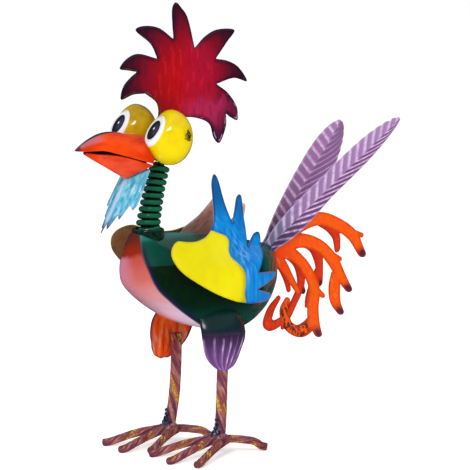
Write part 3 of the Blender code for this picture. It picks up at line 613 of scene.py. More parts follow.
def shell_finish(side):
    """Green enamel, nearly black in the middle, with painted reflections in broad bands, teal above, lighter
    low down and to the rear and light teal along the top edge, and navy round the rim.
    """
    made = Finish(f"shell_green_enamel_{side}")
    wave = made.noise(30, detail=2, seed=12)
    brush = made.noise(5, detail=4, stretch=(1, 1, 3), seed=13)
    level = made.z + wave.sway(5)
    # Painted reflections in broad bands over the dark green: teal above, lighter green low down and to the
    # rear.
    ground = made.layers(made.mix(brush.rise(0.3, 0.75), "021c10", "03250f"),
                         (level.rise(178.5, 180) * 0.9, "03493c"),
                         (level.rise(142, 118) * 0.8, "06423a"),
                         (made.y.rise(55, 66) * 0.85, "045048"))
    rim = made.note("rim") + brush.sway(2.5)
    navy = rim.rise(5.5, 2.2)
    edge = made.note("rim").rise(1.4, 0.4)
    # Painted reflection: light teal along the top edge of the shell.
    top = made.z.rise(199, 204) * made.note("rim").rise(9, 3)
    colour = made.layers(ground, (navy * made.z.rise(200, 190) * 0.85, "151a35"),
                         (edge * 0.55, "43506e"), (top * 0.5, "2f8a86"))
    return made.done(colour, 0.14, 0.06, coat=0.35)


def chest_finish():
    """Pink enamel shaded from dark red at the top through coral to pale lavender below."""
    made = Finish("chest_pink_enamel")
    mottle = made.noise(12, detail=3, seed=14)
    across = made.note("across")
    level = made.z + mottle.sway(6) - across * 4
    ground = made.ramp((made.z + mottle.sway(8) - across * 5 - 110) / 90,
                       (0.0, "f3e3f4"), (0.18, "e6c8e4"), (0.36, "d898a0"), (0.58, "c8665c"),
                       (0.80, "ba4a40"), (1.0, "c2503c"))
    far = (across + mottle.sway(0.4)).rise(0.35, -0.8)
    top = level.rise(182.5, 188.5)
    colour = made.layers(ground, (far * 0.7, "cd86a6"),
                         (top, made.mix(level.rise(190, 203), "8e2208", "5e2418")),
                         (made.note("rim").rise(1.6, 0.5) * 0.35, "7a2a30"))
    return made.done(colour, 0.2, 0.1, coat=0.3)


def cover_finish(side):
    """Yellow enamel, a little darker along the edge and with painted shade towards its rear edge, with a
    bronze wash on its inner face that carries painted shadow low down.
    """
    made = Finish(f"cover_yellow_enamel_{side}")
    mottle = made.noise(16, detail=3, seed=15)
    rim = made.note("rim") + made.noise(5, seed=16).sway(3)
    # Painted shade darkens the yellow towards its rear edge, where the domed cover turns away.
    yellow = made.layers(made.mix(mottle.rise(0.35, 0.75), "f0e400", "ebdb00"),
                         (made.y.rise(14, 28) * rim.rise(10, 1) * 0.6, "a88200"),
                         (rim.rise(2.4, 0.2) * 0.55, "c2ac10"))
    # Mottle of the bronze wash, which also sets patches of painted shadow low on the inner face.
    bronze_mottle_and_shade = made.noise(9, detail=4, seed=17)
    bronze = made.layers(made.mix(bronze_mottle_and_shade.rise(0.3, 0.7), "8e5632", "a4714e"),
                         (bronze_mottle_and_shade.rise(0.50, 0.64) * made.z.rise(196, 186) * 0.8, "4a3428"),
                         (rim.rise(5, 0.5) * 0.6, "8a6a4c"))
    return made.done(made.mix(made.note("inner"), yellow, bronze), 0.17, 0.08, coat=0.7)


def wing_finish(side):
    """Azure enamel brushed along the feathers, navy at tips and edges, with a rosy brown inner face."""
    made = Finish(f"wing_blue_enamel_{side}")
    brush = made.noise(4, detail=4, stretch=(1, 1, 5), turn=(6, 0, 0), seed=18)
    rim = made.note("rim") + brush.sway(3.2)
    root = made.note("root")
    ground = made.ramp(brush, (0.28, "006cc0"), (0.46, "0080d4"), (0.60, "0090de"), (0.78, "30a8ea"))
    high = (made.z + brush.sway(20)).rise(212, 236)
    rear = (made.y + brush.sway(16)).rise(34, 52)
    pale = (brush.rise(0.45, 0.66) * root.rise(34, 14) * made.y.rise(24, 34))
    low = made.z.rise(168, 158) * made.y.rise(44, 54)
    blue = made.layers(ground, (high * 0.7, "0a4480"), (rear * made.z.rise(190, 206) * 0.45, "0c5aa4"),
                       (pale * 0.7, "8cb6ee"), (rim.rise(3.0, 0.4) * 0.75, "0a3f7c"),
                       (rim.rise(2.6, 0.6) * low * 0.7, "6f78a8"))
    streak = made.noise(4, detail=4, stretch=(1, 1, 6), turn=(-40, 0, 0), seed=19)
    rosy = made.layers(made.ramp(streak, (0.3, "d08878"), (0.5, "e6aa9c"), (0.68, "f2cac2")),
                       (rim.rise(2.6, 0.4) * 0.5, "e4d0b8"))
    return made.done(made.mix(made.note("inner"), blue, rosy), 0.2, 0.12)


def feather_finish(side):
    """Lilac enamel, paler on the ridges of the barbs and darker between them."""
    made = Finish(f"feather_lilac_enamel_{side}")
    brush = made.noise(5, detail=4, seed=20)
    fine = made.noise(1.5, detail=3, stretch=(1, 2, 1), seed=21)
    ridge = made.note("ridge") + fine.sway(0.5)
    base = (made.note("reach") + brush.sway(0.16)).rise(0.34, 0.10)
    broad = made.note("reach") + brush.sway(0.4)
    ground = made.ramp(broad, (0.1, "75567f"), (0.4, "9a66a2"), (0.7, "a972ae"), (1.0, "ae7cb4"))
    blush = brush.rise(0.52, 0.75)
    across = made.note("across")
    front_half = across.rise(-0.05, 0.05)
    grey = made.mix(base, "a98fbe", "8f93b4")
    bright = 1 - base * 0.6
    # Paler along the ridges of the barbs, and near white on some crests.
    rubbed = (ridge + brush.sway(1.6)).rise(-0.1, 0.5) * (0.15 + front_half * 0.5)
    crest_white = (ridge + fine.sway(0.8)).rise(0.60, 1.0) * brush.rise(0.42, 0.55)
    colour = made.layers(ground, (blush * 0.5, "a4587e"), (base * 0.9, "3a3252"),
                         (ridge.rise(0.05, -0.7) * (0.7 - front_half * 0.5), "4d2c5e"),
                         (ridge.rise(0.40, 0.95) * (0.7 - front_half * 0.2) * bright, "c7a8d4"),
                         (rubbed * bright, "d2b6da"), (crest_white * (0.75 - base * 0.5), "f2e8f6"),
                         (made.note("rim").rise(1.3, 0.3) * 0.4, "cbb4d8"))
    if side == "left":
        colour = made.mix(0.35 * front_half, colour, grey)
    else:
        colour = made.mix(0.12, colour, "e2bce6")
    return made.done(colour, 0.3, 0.16, coat=0.3)


def plume_finish(side):
    """Orange enamel, redder near the root and on the far plume, with painted shade along the edges, scorched
    at some of its tips.
    """
    made = Finish(f"plume_orange_enamel_{side}")
    brush = made.noise(6, detail=4, stretch=(1, 1, 2.4), turn=(25, 0, 0), seed=22)
    near = side == "left"
    ground = made.mix(brush.rise(0.35, 0.7), *(("f25c00", "ee4600") if near else ("e63a0a", "dc3210")))
    root = (made.note("root") + brush.sway(20)).rise(46, 8)
    tip = made.note("tip") + brush.sway(2.4)
    hook = made.note("hook")
    marble = made.noise(3, detail=5, stretch=(1, 1, 3), rough=0.65, seed=23)
    smoke = (marble.rise(0.46, 0.58) * hook).least(1)
    rim = made.note("rim") + brush.sway(1.2)
    colour = made.layers(ground, (root * 0.65, "e02400"), (brush.rise(0.56, 0.68) * 0.45, "ff7c1c"),
                         (brush.rise(0.40, 0.30) * 0.4, "c42c08"),
                         # Painted shade: darker red along the edges, where the domed fronds turn away.
                         ((rim + marble.sway(4)).rise(2.6, 0.4) * 0.55, "b02a0c"),
                         (tip.rise(9, 3) * 0.55, "8e1a10"), (smoke * 0.9, "3a0f14"),
                         (tip.rise(5.0, 1.6) * 0.85, "2a1838"))
    return made.done(colour, 0.2, 0.12)


def thigh_finish(side):
    """Teal to purple enamel with painted highlights in lilac on the flutes and painted shade in their
    grooves, and bright orange inside the cup.
    """
    made = Finish(f"thigh_purple_enamel_{side}")
    brush = made.noise(3, detail=4, stretch=(1, 1, 4), seed=24)
    broad = made.noise(8, detail=2, stretch=(1, 1, 2), seed=30)
    level = made.z + brush.sway(12)
    flute = made.note("flute") + brush.sway(1.4)
    low = level.rise(110, 103)
    lit = broad.rise(0.36, 0.56)
    purple = made.layers(made.ramp(level / 60 - 1.25, (0.0, "8a5496"), (0.28, "6e4680"), (0.48, "43284e"),
                                   (0.58, "30213c"), (0.68, "10262e"), (0.9, "042c28")),
                         # Painted shade in the grooves of the flutes, and painted highlights in lilac and
                         # near white on their crests, brightest where lit is high.
                         (flute.rise(-0.2, -0.9) * low * 0.5, "4a2a5c"),
                         (flute.rise(0.35, 1.0) * low * (0.15 + lit * 0.5), "a587bc"),
                         (flute.rise(0.85, 1.25) * low * lit * 0.75, "e2d4ee"),
                         (brush.rise(0.60, 0.72) * low * (1 - lit) * 0.6, "94387a"))
    streak = made.noise(5, detail=3, stretch=(1, 1, 5), seed=25)
    orange = made.layers(made.ramp(streak, (0.30, "e84404"), (0.46, "fa5604"), (0.62, "fa6a10"),
                                   (0.78, "f0a070")),
                         (streak.rise(0.36, 0.28) * 0.35, "a83408"),
                         (level.rise(108, 98) * streak.rise(0.45, 0.65) * 0.6, "eab496"),
                         (made.note("rim").rise(1.4, 0.4), "52285c"))
    return made.done(made.mix(made.note("inner"), purple, orange), 0.2, 0.1, coat=0.12)


def rod_finish():
    """Purple-brown enamel on forged rod, rubbed with gold in long slanting streaks."""
    made = Finish("rod_brown_enamel")
    patch = made.noise(9, detail=4, seed=26)
    brush = made.noise(2.6, detail=4, seed=27)
    grain = made.lengthwise(1.5, 22, turn=0.10, detail=4, seed=3)
    band = made.lengthwise(0.8, 34, turn=0.09, detail=2, seed=8)
    ground = made.ramp(grain + patch.sway(0.3),
                       (0.34, "521e30"), (0.46, "7c3a40"), (0.57, "985452"), (0.70, "b27e74"))
    gold = (band + brush.sway(0.2) + grain.sway(0.25)).rise(0.54, 0.64)
    shade = (band + brush.sway(0.2)).rise(0.44, 0.34)
    pale = (grain + brush.sway(0.3)).rise(0.60, 0.72)
    colour = made.layers(ground, (shade * 0.6, "62305c"), (gold * 0.8, "b88426"),
                         (gold * brush.rise(0.46, 0.60) * 0.8, "e8b41c"), (pale * 0.4, "d4a8a0"),
                         (made.note("end") * 0.7, "6a3444"))
    return made.done(colour, 0.24, 0.14, relief=[grain * 0.8, patch * 0.4])


def weld_finish():
    """Weld metal painted over in navy, with bare bright high spots."""
    made = Finish("weld_navy_enamel")
    patch = made.noise(2.6, detail=4, seed=28)
    colour = made.ramp(patch, (0.35, "0e1020"), (0.52, "242a44"), (0.62, "5a6078"), (0.74, "a8aab8"))
    return made.done(colour, 0.22, 0.12, coat=0.8)


def joint_finish():
    """Weld metal at the fork of the toes, painted rosy with the rods."""
    made = Finish("weld_rosy_enamel")
    patch = made.noise(3, detail=4, seed=29)
    return made.done(made.ramp(patch, (0.35, "6a3848"), (0.52, "9a6470"), (0.68, "c49aa8")), 0.3, 0.14)


# Pieces

def ready(thing, slot, *nodes):
    """Hangs a piece on the root body and hides the imported solids that it stands for. The slot is not used.
    """
    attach(thing, "root")
    if nodes:
        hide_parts(*nodes)


def mesh_object(name, points, faces, notes, material, mirrored=False):
    points = np.array(points, float)
    if mirrored:
        points = points * (-1, 1, 1)
        faces = [tuple(reversed(face)) for face in faces]
    mesh = bpy.data.meshes.new(name)
    mesh.from_pydata((points * MM + PLACE).tolist(), [], [tuple(int(i) for i in face) for face in faces])
    mesh.update()
    for key, values in notes.items():
        layer = mesh.attributes.new(key, "FLOAT", "POINT")
        layer.data.foreach_set("value", np.array(values, np.float32))
    mesh.shade_smooth()
    mesh.set_sharp_from_angle(angle=math.radians(40))
    mesh.materials.append(material)
    thing = bpy.data.objects.new(name, mesh)
    bpy.context.scene.collection.objects.link(thing)
    return thing


def soften(thing, width=ROUNDING):
    """Rounds the edges of the sheet, as thick enamel does."""
    bevel = thing.modifiers.new("Enamel edge", "BEVEL")
    bevel.width = width * MM
    bevel.segments = 2
    bevel.limit_method = "ANGLE"
    bevel.angle_limit = math.radians(50)
    bevel.harden_normals = True
    return thing


def settled(thing):
    """Turns what the modifiers make into the object's plain mesh."""
    seen = thing.evaluated_get(bpy.context.evaluated_depsgraph_get())
    mesh = bpy.data.meshes.new_from_object(seen)
    thing.modifiers.clear()
    thing.data = mesh
    return thing


def trimmed(thing, cutters):
    for cutter in cutters:
        modifier = thing.modifiers.new("Trim", "BOOLEAN")
        modifier.operation = "DIFFERENCE"
        modifier.solver = "EXACT"
        modifier.object = cutter
    settled(thing)
    thing.data.shade_smooth()
    thing.data.set_sharp_from_angle(angle=math.radians(40))
    return thing


# Body

def body_rim():
    """Rim points (Y, Z), half distance between the shells and outward directions."""
    first, second = RIM_CORNERS
    lower = spline(BODY_RIM[first:second + 1], RIM_STEPS)[:-1]
    upper = spline(BODY_RIM[second:] + BODY_RIM[:1], RIM_STEPS)[:-1]
    rim = np.vstack([lower, upper])
    seam = GAP / 2 + (TAIL_SLOT - GAP / 2) * ease((rim[:, 0] - 35) / 20)
    half = np.maximum(rim[:, 2], seam)
    way = np.roll(rim[:, :2], -1, axis=0) - np.roll(rim[:, :2], 1, axis=0)
    way /= np.linalg.norm(way, axis=1)[:, None]
    return rim[:, :2], half, np.column_stack([way[:, 1], -way[:, 0]])


RIM, RIM_HALF, RIM_OUT = body_rim()
SHARES = np.array([*np.arange(1, 25) / 25, 0.985, 1.0])


def dome_share(share):
    return (1 - share ** 2.2) ** 0.85


RIM_TURN = np.arctan2(RIM[:, 1] - BODY_CENTRE[1], RIM[:, 0] - BODY_CENTRE[0])
RIM_ORDER = np.argsort(RIM_TURN)


def shell_x(y, z):
    """Outer surface of a shell over a point of the side view, or -inf outside its outline."""
    angle = math.atan2(z - BODY_CENTRE[1], y - BODY_CENTRE[0])
    reach = np.linalg.norm(RIM - BODY_CENTRE, axis=1)
    limit = np.interp(angle, RIM_TURN[RIM_ORDER], reach[RIM_ORDER], period=math.tau)
    half = np.interp(angle, RIM_TURN[RIM_ORDER], RIM_HALF[RIM_ORDER], period=math.tau)
    share = math.hypot(y - BODY_CENTRE[0], z - BODY_CENTRE[1]) / limit
    return half + (BODY_DOME - half) * dome_share(share) if share < 1 else -math.inf


def dome_grid(rim, rise):
    """Crown point and rings of one dome over the rim."""
    points = [(rise, *BODY_CENTRE)]
    for share in SHARES:
        spots = BODY_CENTRE + share * (rim - BODY_CENTRE)
        points.extend(zip(RIM_HALF + (rise - RIM_HALF) * dome_share(share), spots[:, 0], spots[:, 1]))
    return points


def dome_faces(start, count):
    faces = [(start, start + 1 + i, start + 1 + (i + 1) % count) for i in range(count)]
    rings = grid_faces(len(SHARES), count, closed=True)
    return faces + [tuple(start + 1 + i for i in face) for face in rings]


def body_shell(side):
    count = len(RIM)
    outer = dome_grid(RIM, BODY_DOME)
    inner = dome_grid(RIM - RIM_OUT * SHEET, BODY_DOME - SHEET)
    size = len(outer)
    faces = dome_faces(0, count) + [tuple(reversed(face)) for face in dome_faces(size, count)]
    edge = size - count
    for i in range(count):
        j = (i + 1) % count
        faces.append((edge + i, size + edge + i, size + edge + j, edge + j))
    rim = distance_to(RIM, np.array(outer)[:, 1:])
    notes = {"rim": np.tile(rim, 2), "inner": np.repeat((0.0, 1.0), size)}
    shell = mesh_object(f"painted_body_shell_{side}", outer + inner, faces, notes, shell_finish(side),
                        side == "right")
    ready(soften(shell), "green_enamel", f"body_shell_{side}")


def panel_points(indices, widths, clearance, stand):
    """Rows across the strip between the shells, bulged outwards where the panel covers it."""
    points = []
    for i in indices:
        swell = PANEL_BULGE * RIM_HALF[i] * ease((15 * RIM_STEPS / 2 - i) / (9 * RIM_STEPS / 2))
        for width in widths:
            y, z = RIM[i] + RIM_OUT[i] * (stand + swell * (1 - width ** 2))
            points.append((width * (RIM_HALF[i] - clearance), y, z))
    return points


def chest_panel():
    widths = np.linspace(-1, 1, 25)
    rows = range(PANEL_SPANS * RIM_STEPS + 1)
    points = panel_points(rows, widths, GAP, 0)
    across = np.tile(widths, len(rows))
    rim = (1 - abs(across)) * np.repeat(RIM_HALF[:len(rows)], len(widths))
    wall = thicken(points, grid_faces(len(rows), len(widths)), {"across": across, "rim": rim})
    panel = mesh_object("painted_chest_panel", *wall, chest_finish())
    ready(soften(panel), "pink_enamel", "chest_panel")


def body_envelope():
    """Closed body form grown by the clearance, which trims what is fixed to the body."""
    count = len(RIM)
    left = dome_grid(RIM + RIM_OUT * GAP, BODY_DOME + GAP)
    right = [(-x, y, z) for x, y, z in left]
    size = len(left)
    strip = panel_points(range(count), (-0.45, 0.45), 0, GAP)
    faces = dome_faces(0, count) + [tuple(reversed(face)) for face in dome_faces(size, count)]
    edge = size - count
    for i in range(count):
        j = (i + 1) % count
        row = [size + edge + i, 2 * size + i * 2, 2 * size + i * 2 + 1, edge + i]
        following = [size + edge + j, 2 * size + j * 2, 2 * size + j * 2 + 1, edge + j]
        faces += [(row[k], following[k], following[k + 1], row[k + 1]) for k in range(3)]
    return mesh_object("body_envelope", left + right + strip, faces, {}, STEM_PAINT)


# Neck

NECK_Y = NECK_LINE[0][0]
_upper = RIM[RIM_CORNERS[1] * RIM_STEPS:]
BODY_TOP = float(np.interp(NECK_Y, _upper[::-1, 0], _upper[::-1, 1]))


def neck_line(steps):
    line = np.array(NECK_LINE)
    line[0, 1] = BODY_TOP + GAP + COIL_WIRE / 2
    return spline(line, steps)


class Tree:
    """A Geometry Nodes tree with named inputs, used once and turned into a plain mesh."""

    def __init__(self, name, **sizes):
        self.tree = bpy.data.node_groups.new(name, "GeometryNodeTree")
        face = self.tree.interface
        face.new_socket("Geometry", in_out="INPUT", socket_type="NodeSocketGeometry")
        face.new_socket("Geometry", in_out="OUTPUT", socket_type="NodeSocketGeometry")
        self.keys = {key: face.new_socket(key, in_out="INPUT", socket_type="NodeSocketFloat").identifier
                     for key in sizes}
        self.sizes = sizes
        self.inputs = self.tree.nodes.new("NodeGroupInput").outputs

    def node(self, kind, settings=(), links=(), out=0):
        """One node: its settings, then values or sockets by input name or number."""
        made = self.tree.nodes.new(kind)
        for key, value in dict(settings).items():
            setattr(made, key, value)
        for key, value in dict(links).items():
            socket = made.inputs[key]
            if isinstance(value, bpy.types.NodeSocket):
                self.tree.links.new(value, socket)
            else:
                socket.default_value = value
        return made.outputs[out]

    def maths(self, operation, *values):
        return self.node("ShaderNodeMath", {"operation": operation}, dict(enumerate(values)))

    def vector(self, operation, *values, out=0, **named):
        return self.node("ShaderNodeVectorMath", {"operation": operation},
                         {**dict(enumerate(values)), **named}, out)

    def keep(self, shape, name, value, domain="POINT"):
        """Stores a number on the points of a shape."""
        return self.node("GeometryNodeStoreNamedAttribute", {"data_type": "FLOAT", "domain": domain},
                         {"Geometry": shape, "Name": name, "Value": value})

    def stored(self, name):
        """Reads a number that is stored on the points."""
        return self.node("GeometryNodeInputNamedAttribute", {"data_type": "FLOAT"}, {"Name": name})

    def circle(self, sides, radius):
        return self.node("GeometryNodeCurvePrimitiveCircle", (), {"Resolution": sides, "Radius": radius})

    def sweep(self, run, ring):
        """Closed rod with the ring's section along a curve."""
        return self.node("GeometryNodeCurveToMesh", (),
                         {"Curve": run, "Profile Curve": ring, "Fill Caps": True})

    def moved(self, shape, offset):
        return self.node("GeometryNodeSetPosition", (), {"Geometry": shape, "Offset": offset})

    def beaten(self, shape, grain, middle, depth):
        """Pushes the surface in and out by noise with that many grains a metre."""
        place = self.vector("SCALE", self.node("GeometryNodeInputPosition"), Scale=grain)
        dents = self.node("ShaderNodeTexNoise", {"noise_dimensions": "4D"},
                          {"Vector": place, "W": self.inputs["Seed"], "Scale": 1.0, "Detail": 2.0})
        push = self.maths("MULTIPLY", self.maths("SUBTRACT", dents, middle), depth)
        return self.moved(shape, self.vector("SCALE", self.node("GeometryNodeInputNormal"), Scale=push))

    def grow(self, source, shape, material):
        """Ends the tree, runs it on the source object and leaves the result as its plain mesh."""
        real = self.node("GeometryNodeRealizeInstances", (), {0: shape})
        painted = self.node("GeometryNodeSetMaterial", (), {"Geometry": real, "Material": material})
        smooth = self.node("GeometryNodeSetShadeSmooth", (), {0: painted})
        self.tree.links.new(smooth, self.tree.nodes.new("NodeGroupOutput").inputs[0])
        modifier = source.modifiers.new(self.tree.name, "NODES")
        modifier.node_group = self.tree
        for key, value in self.sizes.items():
            modifier[self.keys[key]] = float(value)
        seen = source.evaluated_get(bpy.context.evaluated_depsgraph_get())
        mesh = bpy.data.meshes.new_from_object(seen)
        name = source.name
        bpy.data.objects.remove(source)
        thing = bpy.data.objects.new(name, mesh)
        bpy.context.scene.collection.objects.link(thing)
        return thing


def wire_object(name, line):
    """A curve along a line of points, for a tree to work on."""
    curve = bpy.data.curves.new(name, "CURVE")
    curve.dimensions = "3D"
    run = curve.splines.new("POLY")
    run.points.add(len(line) - 1)
    spots = np.array(line) * MM + PLACE
    run.points.foreach_set("co", np.column_stack([spots, np.ones(len(spots))]).ravel())
    thing = bpy.data.objects.new(name, curve)
    bpy.context.scene.collection.objects.link(thing)
    return thing


def neck_coil():
    """Close-wound wire, as a helix that narrows along the bent line of the neck."""
    line = neck_line(24)
    length = np.linalg.norm(np.diff(line, axis=0), axis=1).sum()
    turns = length / COIL_PITCH
    source = wire_object("painted_neck_coil", [(0, y, z) for y, z in line])
    tree = Tree("coil_winding", Turns=turns, Foot=(COIL_FOOT - COIL_WIRE) / 2 * MM,
                Head=(COIL_HEAD - COIL_WIRE) / 2 * MM, Wire=COIL_WIRE / 2 * MM, Steps=round(turns * 48))
    run = tree.node("GeometryNodeResampleCurve", (),
                    {"Curve": tree.inputs["Geometry"], "Count": tree.inputs["Steps"]})
    share = tree.node("GeometryNodeSplineParameter", out="Factor")
    way = tree.node("GeometryNodeInputTangent")
    back = tree.vector("CROSS_PRODUCT", way, (1.0, 0.0, 0.0))
    wound = tree.maths("MULTIPLY", share, tree.inputs["Turns"])
    turn = tree.maths("SUBTRACT", tree.maths("MULTIPLY", wound, math.tau), math.pi / 2)
    beside = tree.vector("SCALE", (1.0, 0.0, 0.0), Scale=tree.maths("COSINE", turn))
    behind = tree.vector("SCALE", back, Scale=tree.maths("SINE", turn))
    ends = {3: tree.inputs["Foot"], 4: tree.inputs["Head"]}
    radius = tree.node("ShaderNodeMapRange", (), {0: share, 1: 0.0, 2: 1.0, **ends})
    across = tree.vector("ADD", beside, behind)
    capture = tree.node("GeometryNodeCaptureAttribute", (), {"Geometry": run}).node
    capture.capture_items.new("VECTOR", "Out")
    tree.tree.links.new(across, capture.inputs["Out"])
    helix = tree.moved(capture.outputs["Geometry"], tree.vector("SCALE", across, Scale=radius))
    wire = tree.sweep(helix, tree.circle(WIRE_SIDES, tree.inputs["Wire"]))
    normal = tree.node("GeometryNodeInputNormal")
    outward = tree.vector("DOT_PRODUCT", normal, capture.outputs["Out"], out="Value")
    noted = tree.keep(wire, "outward", outward)
    coil = tree.grow(source, noted, COIL_PAINT)
    ready(coil, "green_enamel", "neck_coil")


def neck_collar(envelope):
    inner = COIL_FOOT / 2 + GAP
    outer = inner + COLLAR_WALL
    top = BODY_TOP + COLLAR_RISE
    bottom = BODY_TOP - 14
    soft = COLLAR_WALL / 2
    bend = np.radians(np.arange(0, 91, 15))
    lip = [(outer - soft + soft * math.cos(a), top - soft + soft * math.sin(a)) for a in bend]
    profile = [(inner, bottom), (outer, bottom), *lip, (inner, top)]
    around = 64
    points = [(r * math.cos(a), NECK_Y + r * math.sin(a), z)
              for a in np.arange(around) * math.tau / around for r, z in profile]
    size = len(profile)
    faces = []
    for k in range(around):
        m = (k + 1) % around
        for i in range(size):
            j = (i + 1) % size
            faces.append((k * size + i, m * size + i, m * size + j, k * size + j))
    collar = mesh_object("painted_neck_collar", points, faces, {}, STEM_PAINT)
    ready(trimmed(collar, [envelope]), "green_enamel", "neck_collar")


def head_stem():
    """Plug in the top of the coil, a disc over its last turn and a rod up between the eyes."""
    line = neck_line(8)
    end = line[-1]
    way = (line[-1] - line[-2]) / np.linalg.norm(line[-1] - line[-2])
    seat = end + way * (COIL_WIRE / 2 + GAP)
    top = STEM_TOP
    middle = EYE_CENTRE[0]
    above = seat + way * SHEET * 2
    rise = spline([above, above + way * 5, (middle, top - 7), (middle, top - 3)], 8)
    path = [end - way * 8, seat, seat + way * GAP / 4, above, above + way * GAP / 4]
    radii = [STEM_PLUG / 2, STEM_PLUG / 2, STEM_DISC / 2, STEM_DISC / 2, STEM_ROD / 2]
    path += [*rise[1:], (middle, top)]
    radii += [STEM_ROD / 2] * len(rise)
    points, faces = tube([(0, y, z) for y, z in path], radii, 32, up=(0, -1, 0))
    stem = mesh_object("painted_head_stem", points, faces, {}, STEM_PAINT)
    ready(soften(stem), "green_enamel", "head_stem")


# Head

def eye_axes(side):
    """Centre, forward, sideways and upward directions of an eye. Both look a little to the right."""
    sign = 1 if side == "left" else -1
    centre = np.array((sign * (STEM_ROD / 2 + GAP + EYE_RADII[0]), *EYE_CENTRE))
    flat = np.array((-math.sin(EYE_TURN), -math.cos(EYE_TURN), 0))
    rise = np.array((0, 0, 1))
    ahead = flat * math.cos(EYE_TILT) + rise * math.sin(EYE_TILT)
    over = rise * math.cos(EYE_TILT) - flat * math.sin(EYE_TILT)
    return centre, ahead, np.cross(rise, flat), over


def eye_rings(side, grow, around=72):
    """Rings of an eye from its flat disc at the front to the vent at the back."""
    radii = np.array(EYE_RADII)
    centre, ahead, across, over = eye_axes(side)
    rim_angle = math.atan2(EYE_DISC / 2, EYE_DISC_STAND)
    rim_reach = math.hypot(EYE_DISC / 2, EYE_DISC_STAND)
    polars = np.concatenate([[rim_angle], np.linspace(rim_angle + 0.03, math.radians(170), 44)])
    points = []
    for angle in np.arange(around) * math.tau / around:
        out = math.cos(angle) * across + math.sin(angle) * over
        ring = [centre + ahead * (EYE_DISC_STAND + grow) + out * (EYE_DISC / 2 * share + grow * 0.5)
                for share in (0.3, 0.62, 0.86, 0.97)]
        for polar in polars:
            way = ahead * math.cos(polar) + out * math.sin(polar)
            reach = (1 + EYE_SWELL * way[2]) / np.linalg.norm(way / radii)
            lip = math.exp(-((polar - rim_angle) / math.radians(15)) ** 2)
            reach += (rim_reach - reach) * lip + grow
            ring.append(centre + way * reach)
        points.append(ring)
    return np.array(points).transpose(1, 0, 2), around


def eye(side):
    outer, around = eye_rings(side, 0)
    inner, around = eye_rings(side, -SHEET)
    rings = len(outer)
    count = rings * around
    points = np.vstack([outer.reshape(-1, 3), inner.reshape(-1, 3)])
    skin = grid_faces(rings, around, closed=True) + [tuple(range(around))]
    faces = skin + [tuple(i + count for i in reversed(face)) for face in skin]
    last = count - around
    for i in range(around):
        j = (i + 1) % around
        faces.append((last + j, last + i, last + i + count, last + j + count))
    ball = mesh_object(f"painted_eye_{side}", points, faces, {}, eye_finish(side))
    ready(ball, "yellow_enamel", f"eye_{side}")


def eye_clearance(side):
    """Solid form of an eye grown by the clearance, which trims what is fixed to it."""
    rings, around = eye_rings(side, GAP, 36)
    faces = grid_faces(len(rings), around, closed=True) + [tuple(range(around))]
    last = (len(rings) - 1) * around
    faces.append(tuple(reversed(range(last, last + around))))
    return mesh_object(f"eye_clearance_{side}", rings.reshape(-1, 3), faces, {}, STEM_PAINT)


def beak_upper(cutters, finish):
    rows, columns = 49, 49
    stem_front = EYE_CENTRE[0] - STEM_ROD / 2 - 6 * GAP
    shares = np.linspace(0, 1, rows)
    mouth = along(spline(MOUTH_LINE, 8), shares)
    ridge = along(spline(RIDGE_LINE + ((stem_front, 298.5),), 8), shares)
    points, crest = [], []
    for share, m, top in zip(shares, mouth, ridge):
        power = 2 / (1.5 + 0.9 * share)
        for c in range(columns):
            turn = math.pi * c / (columns - 1)
            flat = abs(math.cos(turn)) ** power * math.copysign(1, math.cos(turn))
            lift = math.sin(turn) ** power if 0 < c < columns - 1 else 0
            points.append((m[0] * flat if c != columns // 2 else 0,
                           m[1] + (top[0] - m[1]) * lift, m[2] + (top[1] - m[2]) * lift))
            crest.append(math.sin(turn))
    wall = thicken(points, grid_faces(rows, columns), {"crest": np.array(crest)})
    jaw = trimmed(mesh_object("painted_beak_upper", *wall, finish), cutters)
    ready(soften(jaw), "orange_enamel", "beak_upper")


def beak_lower(cutters, finish):
    rows, columns = 33, 33
    shares = np.linspace(0, 1, rows)
    lip = along(spline(LOWER_LIP, 6), shares)
    keel = along(spline(KEEL_LINE, 6), shares)
    points = []
    for (x, y, z), (ky, kz) in zip(lip, keel):
        for c in range(columns):
            width = 1 - 2 * c / (columns - 1)
            drop = 1 - (math.hypot(width, 0.06) - 0.06) / (math.hypot(1, 0.06) - 0.06)
            points.append((x * width, y + (ky - y) * drop, z + (kz - z) * drop))
    faces = [tuple(reversed(face)) for face in grid_faces(rows, columns)]
    wall = thicken(points, faces, {"crest": np.zeros(len(points))})
    jaw = trimmed(mesh_object("painted_beak_lower", *wall, finish), cutters)
    ready(soften(jaw), "orange_enamel", "beak_lower")


def mouth_shade_sheet(finish):
    """Domed floor of the mouth, let into the lower jaw just below its lip, dark all over as painted shade in
    the mouth slit.
    """
    rows, columns = 25, 17
    points = []
    for x, y, z in along(spline(LOWER_LIP, 6)[:-1], np.linspace(0.04, 1, rows)):
        crown = min(MOUTH_CROWN, MOUTH_SLOPE * x)
        for width in np.linspace(1, -1, columns):
            points.append((width * (x - SHEET - GAP), y, z + crown * (1 - width ** 2) - MOUTH_SINK))
    faces = [tuple(reversed(face)) for face in grid_faces(rows, columns)]
    notes = {"crest": np.zeros(len(points))}
    points, faces, notes = thicken(points, faces, notes)
    # Both faces take the beak's near black inner colour, as painted shade.
    notes["inner"] = np.ones(len(points))
    ready(mesh_object("mouth_shade_sheet", points, faces, notes, finish), "orange_enamel")


